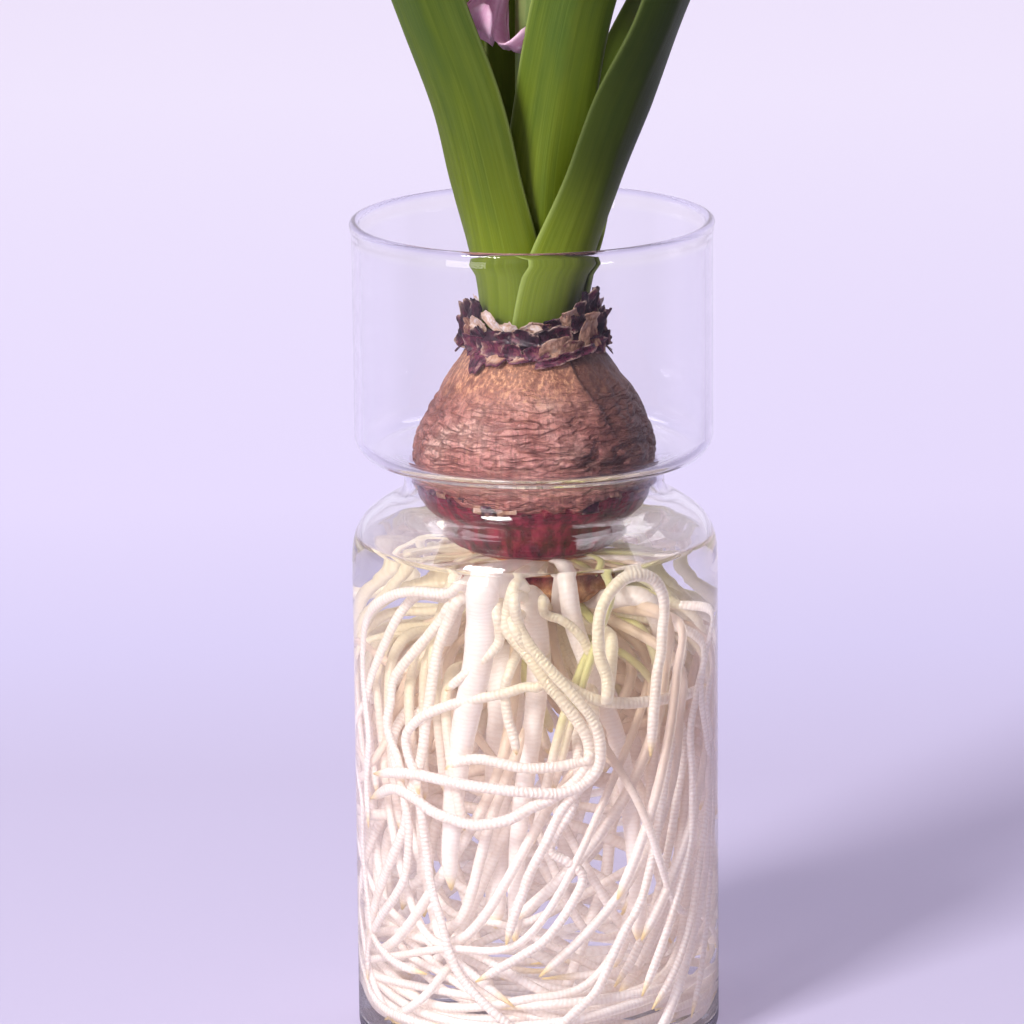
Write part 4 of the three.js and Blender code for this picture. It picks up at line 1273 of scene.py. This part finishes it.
def low_root(rng, radius):
    """A path in metres of a root that circles low down along the wall of the glass."""
    azimuth = rng.uniform(0, 360)
    turn = rng.choice((-1, 1)) * rng.uniform(200, 420)
    wall, low, phase = rng.uniform(28, 36.5), rng.uniform(5.5, 17), rng.uniform(0, 6)
    points = [polar(azimuth, 10, CROWN_Z), polar(azimuth, wall - 9, 70),
              polar(azimuth + 0.08 * turn, wall - 3, 38)]
    for i in range(10):
        t = i / 9
        out = wall - 2 - 2 * math.sin(7 * t + phase)
        z = lerp(22, low, smoothstep(t, 0, 0.3)) + 2 * math.sin(9 * t + phase)
        points.append(keep_in_glass(polar(azimuth + turn * (0.15 + 0.85 * t), out, z), radius))
    return [point * MM for point in even_line(points, 2.4)]


def sweeping_root(rng, radius):
    """A path in metres of a root that comes down beside the right wall and turns in at the bottom."""
    x, y = rng.uniform(655, 708), rng.uniform(610, 760)
    long, sweep = rng.uniform(270, 330), rng.uniform(40, 150)
    places = [(x + 5 * math.sin(3 * t + x) - sweep * t ** 2.6, y + long * t)
              for t in (0, 0.18, 0.36, 0.54, 0.7, 0.86, 1)]
    near = rng.uniform(3, 18)
    return front_root(radius, near, near + rng.uniform(-2, 5), rng.uniform(-60, 0), places)


def spreading_root(rng, radius):
    """A path in metres of a root that reaches out under the water's surface and turns down at the wall."""
    azimuth, turn = rng.uniform(-55, 235), rng.uniform(-45, 45)
    wall, high = rng.uniform(27, 36.5), rng.uniform(88, 109)
    points = [polar(azimuth, 10.5, rng.uniform(103, 105)), polar(azimuth, 15.5, high + 2),
              polar(azimuth + 0.25 * turn, lerp(16, wall, 0.5), high),
              polar(azimuth + 0.6 * turn, lerp(16, wall, 0.88), high - rng.uniform(5, 10)),
              polar(azimuth + 0.9 * turn, wall, high - rng.uniform(16, 24)),
              polar(azimuth + turn * 1.2, wall - rng.uniform(0, 3), high - rng.uniform(34, 52))]
    return [point * MM for point in even_line([keep_in_glass(p, radius) for p in points], 2.0)]


def wavering(radius, seed):
    """A root's radius in metres along its length: slightly uneven, with a pointed tip."""
    def at(t):
        uneven = 1 + 0.07 * noise.noise(Vector((t * 30, seed, 0)))
        return radius * uneven * math.sqrt(max(1 - smoothstep(t, 0.93, 1.0) ** 2, 0.03)) * MM
    return at


def add_roots():
    rng = random.Random(41)
    near, thick, far, young = bmesh.new(), bmesh.new(), bmesh.new(), bmesh.new()
    for i, (radius, *rest) in enumerate(FRONT_ROOTS):
        join_into(near, strand(front_root(radius, *rest), wavering(radius * ROOT_SWELL, i), 10))
    for i, (top, tip, start, end, azimuth, places) in enumerate(THICK_ROOTS):
        path = front_root(top, start, end, azimuth, places)
        join_into(thick, strand(path, lambda t, i=i: lerp(top, tip, t ** 1.4) * wavering(1, i)(t), 20))
    for count, thinnest, thickest, route, sides in (
        (BACK_ROOTS, 0.95, 1.35, filler_root, 7),
        (FLOOR_ROOTS, 0.9, 1.25, floor_root, 7),
        (LOW_ROOTS, 0.95, 1.25, low_root, 7),
        (SWEEPING_ROOTS, 1.0, 1.4, sweeping_root, 8),
    ):
        for i in range(count):
            radius = rng.uniform(thinnest, thickest)
            join_into(far, strand(route(rng, radius), wavering(radius, i), sides))
    for i in range(CROWN_ROOTS):
        azimuth, radius = rng.uniform(0, 360), rng.uniform(0.75, 1.15)
        length = rng.uniform(12, 36)
        lean = rng.uniform(4, 16)
        path = [polar(azimuth, 7.5, CROWN_Z), polar(azimuth, 9 + lean * 0.4, CROWN_Z - length * 0.4),
                polar(azimuth + rng.uniform(-25, 25), 9 + lean, CROWN_Z - length)]
        join_into(young, strand([p * MM for p in even_line(path, 1.8)], wavering(radius, i), 8))
    for i in range(SPREADING_ROOTS):
        radius = rng.uniform(0.85, 1.25)
        join_into(young, strand(spreading_root(rng, radius), wavering(radius, i), 8))
    piece("front_roots", near, root_white(), ["roots"])
    piece("thick_roots", thick, root_white("root_white_thick", rings=0.22, yellow=0.15), ["roots"])
    # the last number for the far and young roots is their painted shade, tan under the bulb
    piece("back_roots", far, root_white("root_white_far", 0.3, 0.3, 0.6, 0.8), ["roots"])
    piece("young_roots", young, root_white("root_white_young", 0.9, 0.35, 0.55, 0.35), ["roots"])


# ---- Floor and light ----


def add_floor():
    """A wide pale floor with painted light, lighter far back. Its front is painted dark where it is only seen
    mirrored in the glass.
    """
    finish = Finish("studio_floor")
    depth = finish.place()["Y"]
    # painted light: darker in front and lighter far back
    shade = finish.ramp(finish.band(depth, -0.5, 2.5), [
        (0.0, (0.41, 0.37, 0.49)), (0.14, (0.41, 0.37, 0.5)), (0.19, (0.46, 0.425, 0.58)),
        (0.26, (0.53, 0.485, 0.63)), (0.6, (0.62, 0.58, 0.67)), (1.0, (0.65, 0.6, 0.68)),
    ])
    # painted shade: the front goes dark where the glass mirrors it
    path = finish.node("LightPath")
    mirrored = finish.math("MULTIPLY", finish.math("GREATER_THAN", path.outputs["Glossy Depth"], 0.5), finish.math(
        "MAXIMUM", path.outputs["Is Glossy Ray"], path.outputs["Is Transmission Ray"]))
    in_front = finish.band(depth, -0.05, 0.2, 0.72, 0.05)
    finish.colour(finish.mix(finish.math("MULTIPLY", mirrored, in_front), shade, (0, 0, 0)))
    finish.put(Roughness=0.9, Specular_IOR_Level=0.1)
    bm = bmesh.new()
    bmesh.ops.create_grid(bm, x_segments=1, y_segments=1, size=8)
    mesh = bpy.data.meshes.new("floor")
    bm.to_mesh(mesh)
    bm.free()
    mesh.materials.append(finish.material)
    floor = bpy.data.objects.new("floor", mesh)
    scene.collection.objects.link(floor)


def add_lamp(name, at, aim, size, power, colour=(1, 1, 1), mirrored=False):
    """A rectangular lamp, sized in metres and with its power in watts. A mirrored one shows in the glass."""
    data = bpy.data.lights.new(name, "AREA")
    data.shape = "RECTANGLE"
    data.size, data.size_y = size
    data.energy = power
    data.color = colour
    lamp = bpy.data.objects.new(name, data)
    lamp.location = at
    lamp.rotation_euler = (Vector(aim) - Vector(at)).to_track_quat("-Z", "Y").to_euler()
    lamp.visible_glossy = mirrored
    scene.collection.objects.link(lamp)
    return lamp


def add_light():
    """The room lights most from the left. What the glass mirrors is bright behind and dark in front."""
    world = bpy.data.worlds.new("studio")
    world.use_nodes = True
    tree = world.node_tree
    background = tree.nodes["Background"]
    paths = tree.nodes.new("ShaderNodeLightPath")
    split = tree.nodes.new("ShaderNodeSeparateXYZ")
    tree.links.new(tree.nodes.new("ShaderNodeTexCoord").outputs["Generated"], split.inputs[0])

    def spread(axis, low, high):
        made = tree.nodes.new("ShaderNodeMapRange")
        made.interpolation_type = "SMOOTHSTEP"
        made.inputs["From Min"].default_value = low
        made.inputs["From Max"].default_value = high
        tree.links.new(split.outputs[axis], made.inputs["Value"])
        return made.outputs["Result"]

    def over(value, limit):
        made = tree.nodes.new("ShaderNodeMath")
        made.operation = "GREATER_THAN"
        made.inputs[1].default_value = limit
        tree.links.new(value, made.inputs[0])
        return made.outputs[0]

    def mixed(factor, *colours):
        mixer = tree.nodes.new("ShaderNodeMix")
        mixer.data_type = "RGBA"
        tree.links.new(factor, mixer.inputs[0])
        for socket, colour in zip((mixer.inputs[6], mixer.inputs[7]), colours):
            if hasattr(colour, "links"):
                tree.links.new(colour, socket)
            else:
                socket.default_value = (*colour, 1)
        return mixer.outputs[2]

    backdrop = (0.87, 0.79, 0.98)
    room = mixed(spread("X", -0.6, 0.7), (0.64, 0.6, 0.7), (0.2, 0.19, 0.25))
    mirrored = mixed(spread("Y", 0.0, 0.7), (0.16, 0.15, 0.19), (0.85, 0.78, 0.97))
    glow = mixed(paths.outputs["Is Glossy Ray"], room, mirrored)
    glow = mixed(paths.outputs["Is Transmission Ray"], glow,
                 mixed(over(paths.outputs["Glossy Depth"], 0.5), backdrop, mirrored))
    glow = mixed(paths.outputs["Is Camera Ray"], glow, backdrop)
    tree.links.new(glow, background.inputs["Color"])
    scene.world = world
    add_lamp("softbox", (-1.1, -1.5, 1.25), (0, 0, 0.17), (0.5, 0.5), 68)
    window = add_lamp("window", (-1.07, -1.5, 1.25), (0, 0, 0.17), (0.9, 0.36), 46, mirrored=True)
    window.visible_diffuse = False
    add_lamp("top_panel", (0.2, 1.6, 2.4), (0, 1.2, 0), (3.0, 2.0), 60, (0.97, 0.95, 1.0))
    add_lamp("low_fill", (-0.7, -0.75, 0.22), (0, 0, 0.06), (0.5, 0.3), 2.6, (1.0, 0.96, 0.93))
    scene.view_settings.view_transform = "Standard"
    scene.cycles.use_denoising = True
    scene.cycles.transparent_max_bounces = 48
    scene.cycles.max_bounces = 20
    scene.cycles.diffuse_bounces = 6
    scene.cycles.glossy_bounces = 16
    scene.cycles.transmission_bounces = 20


add_camera()
add_floor()
add_light()
add_glass()
add_bulb()
add_neck_scales()
add_leaves()
add_flower()
add_roots()
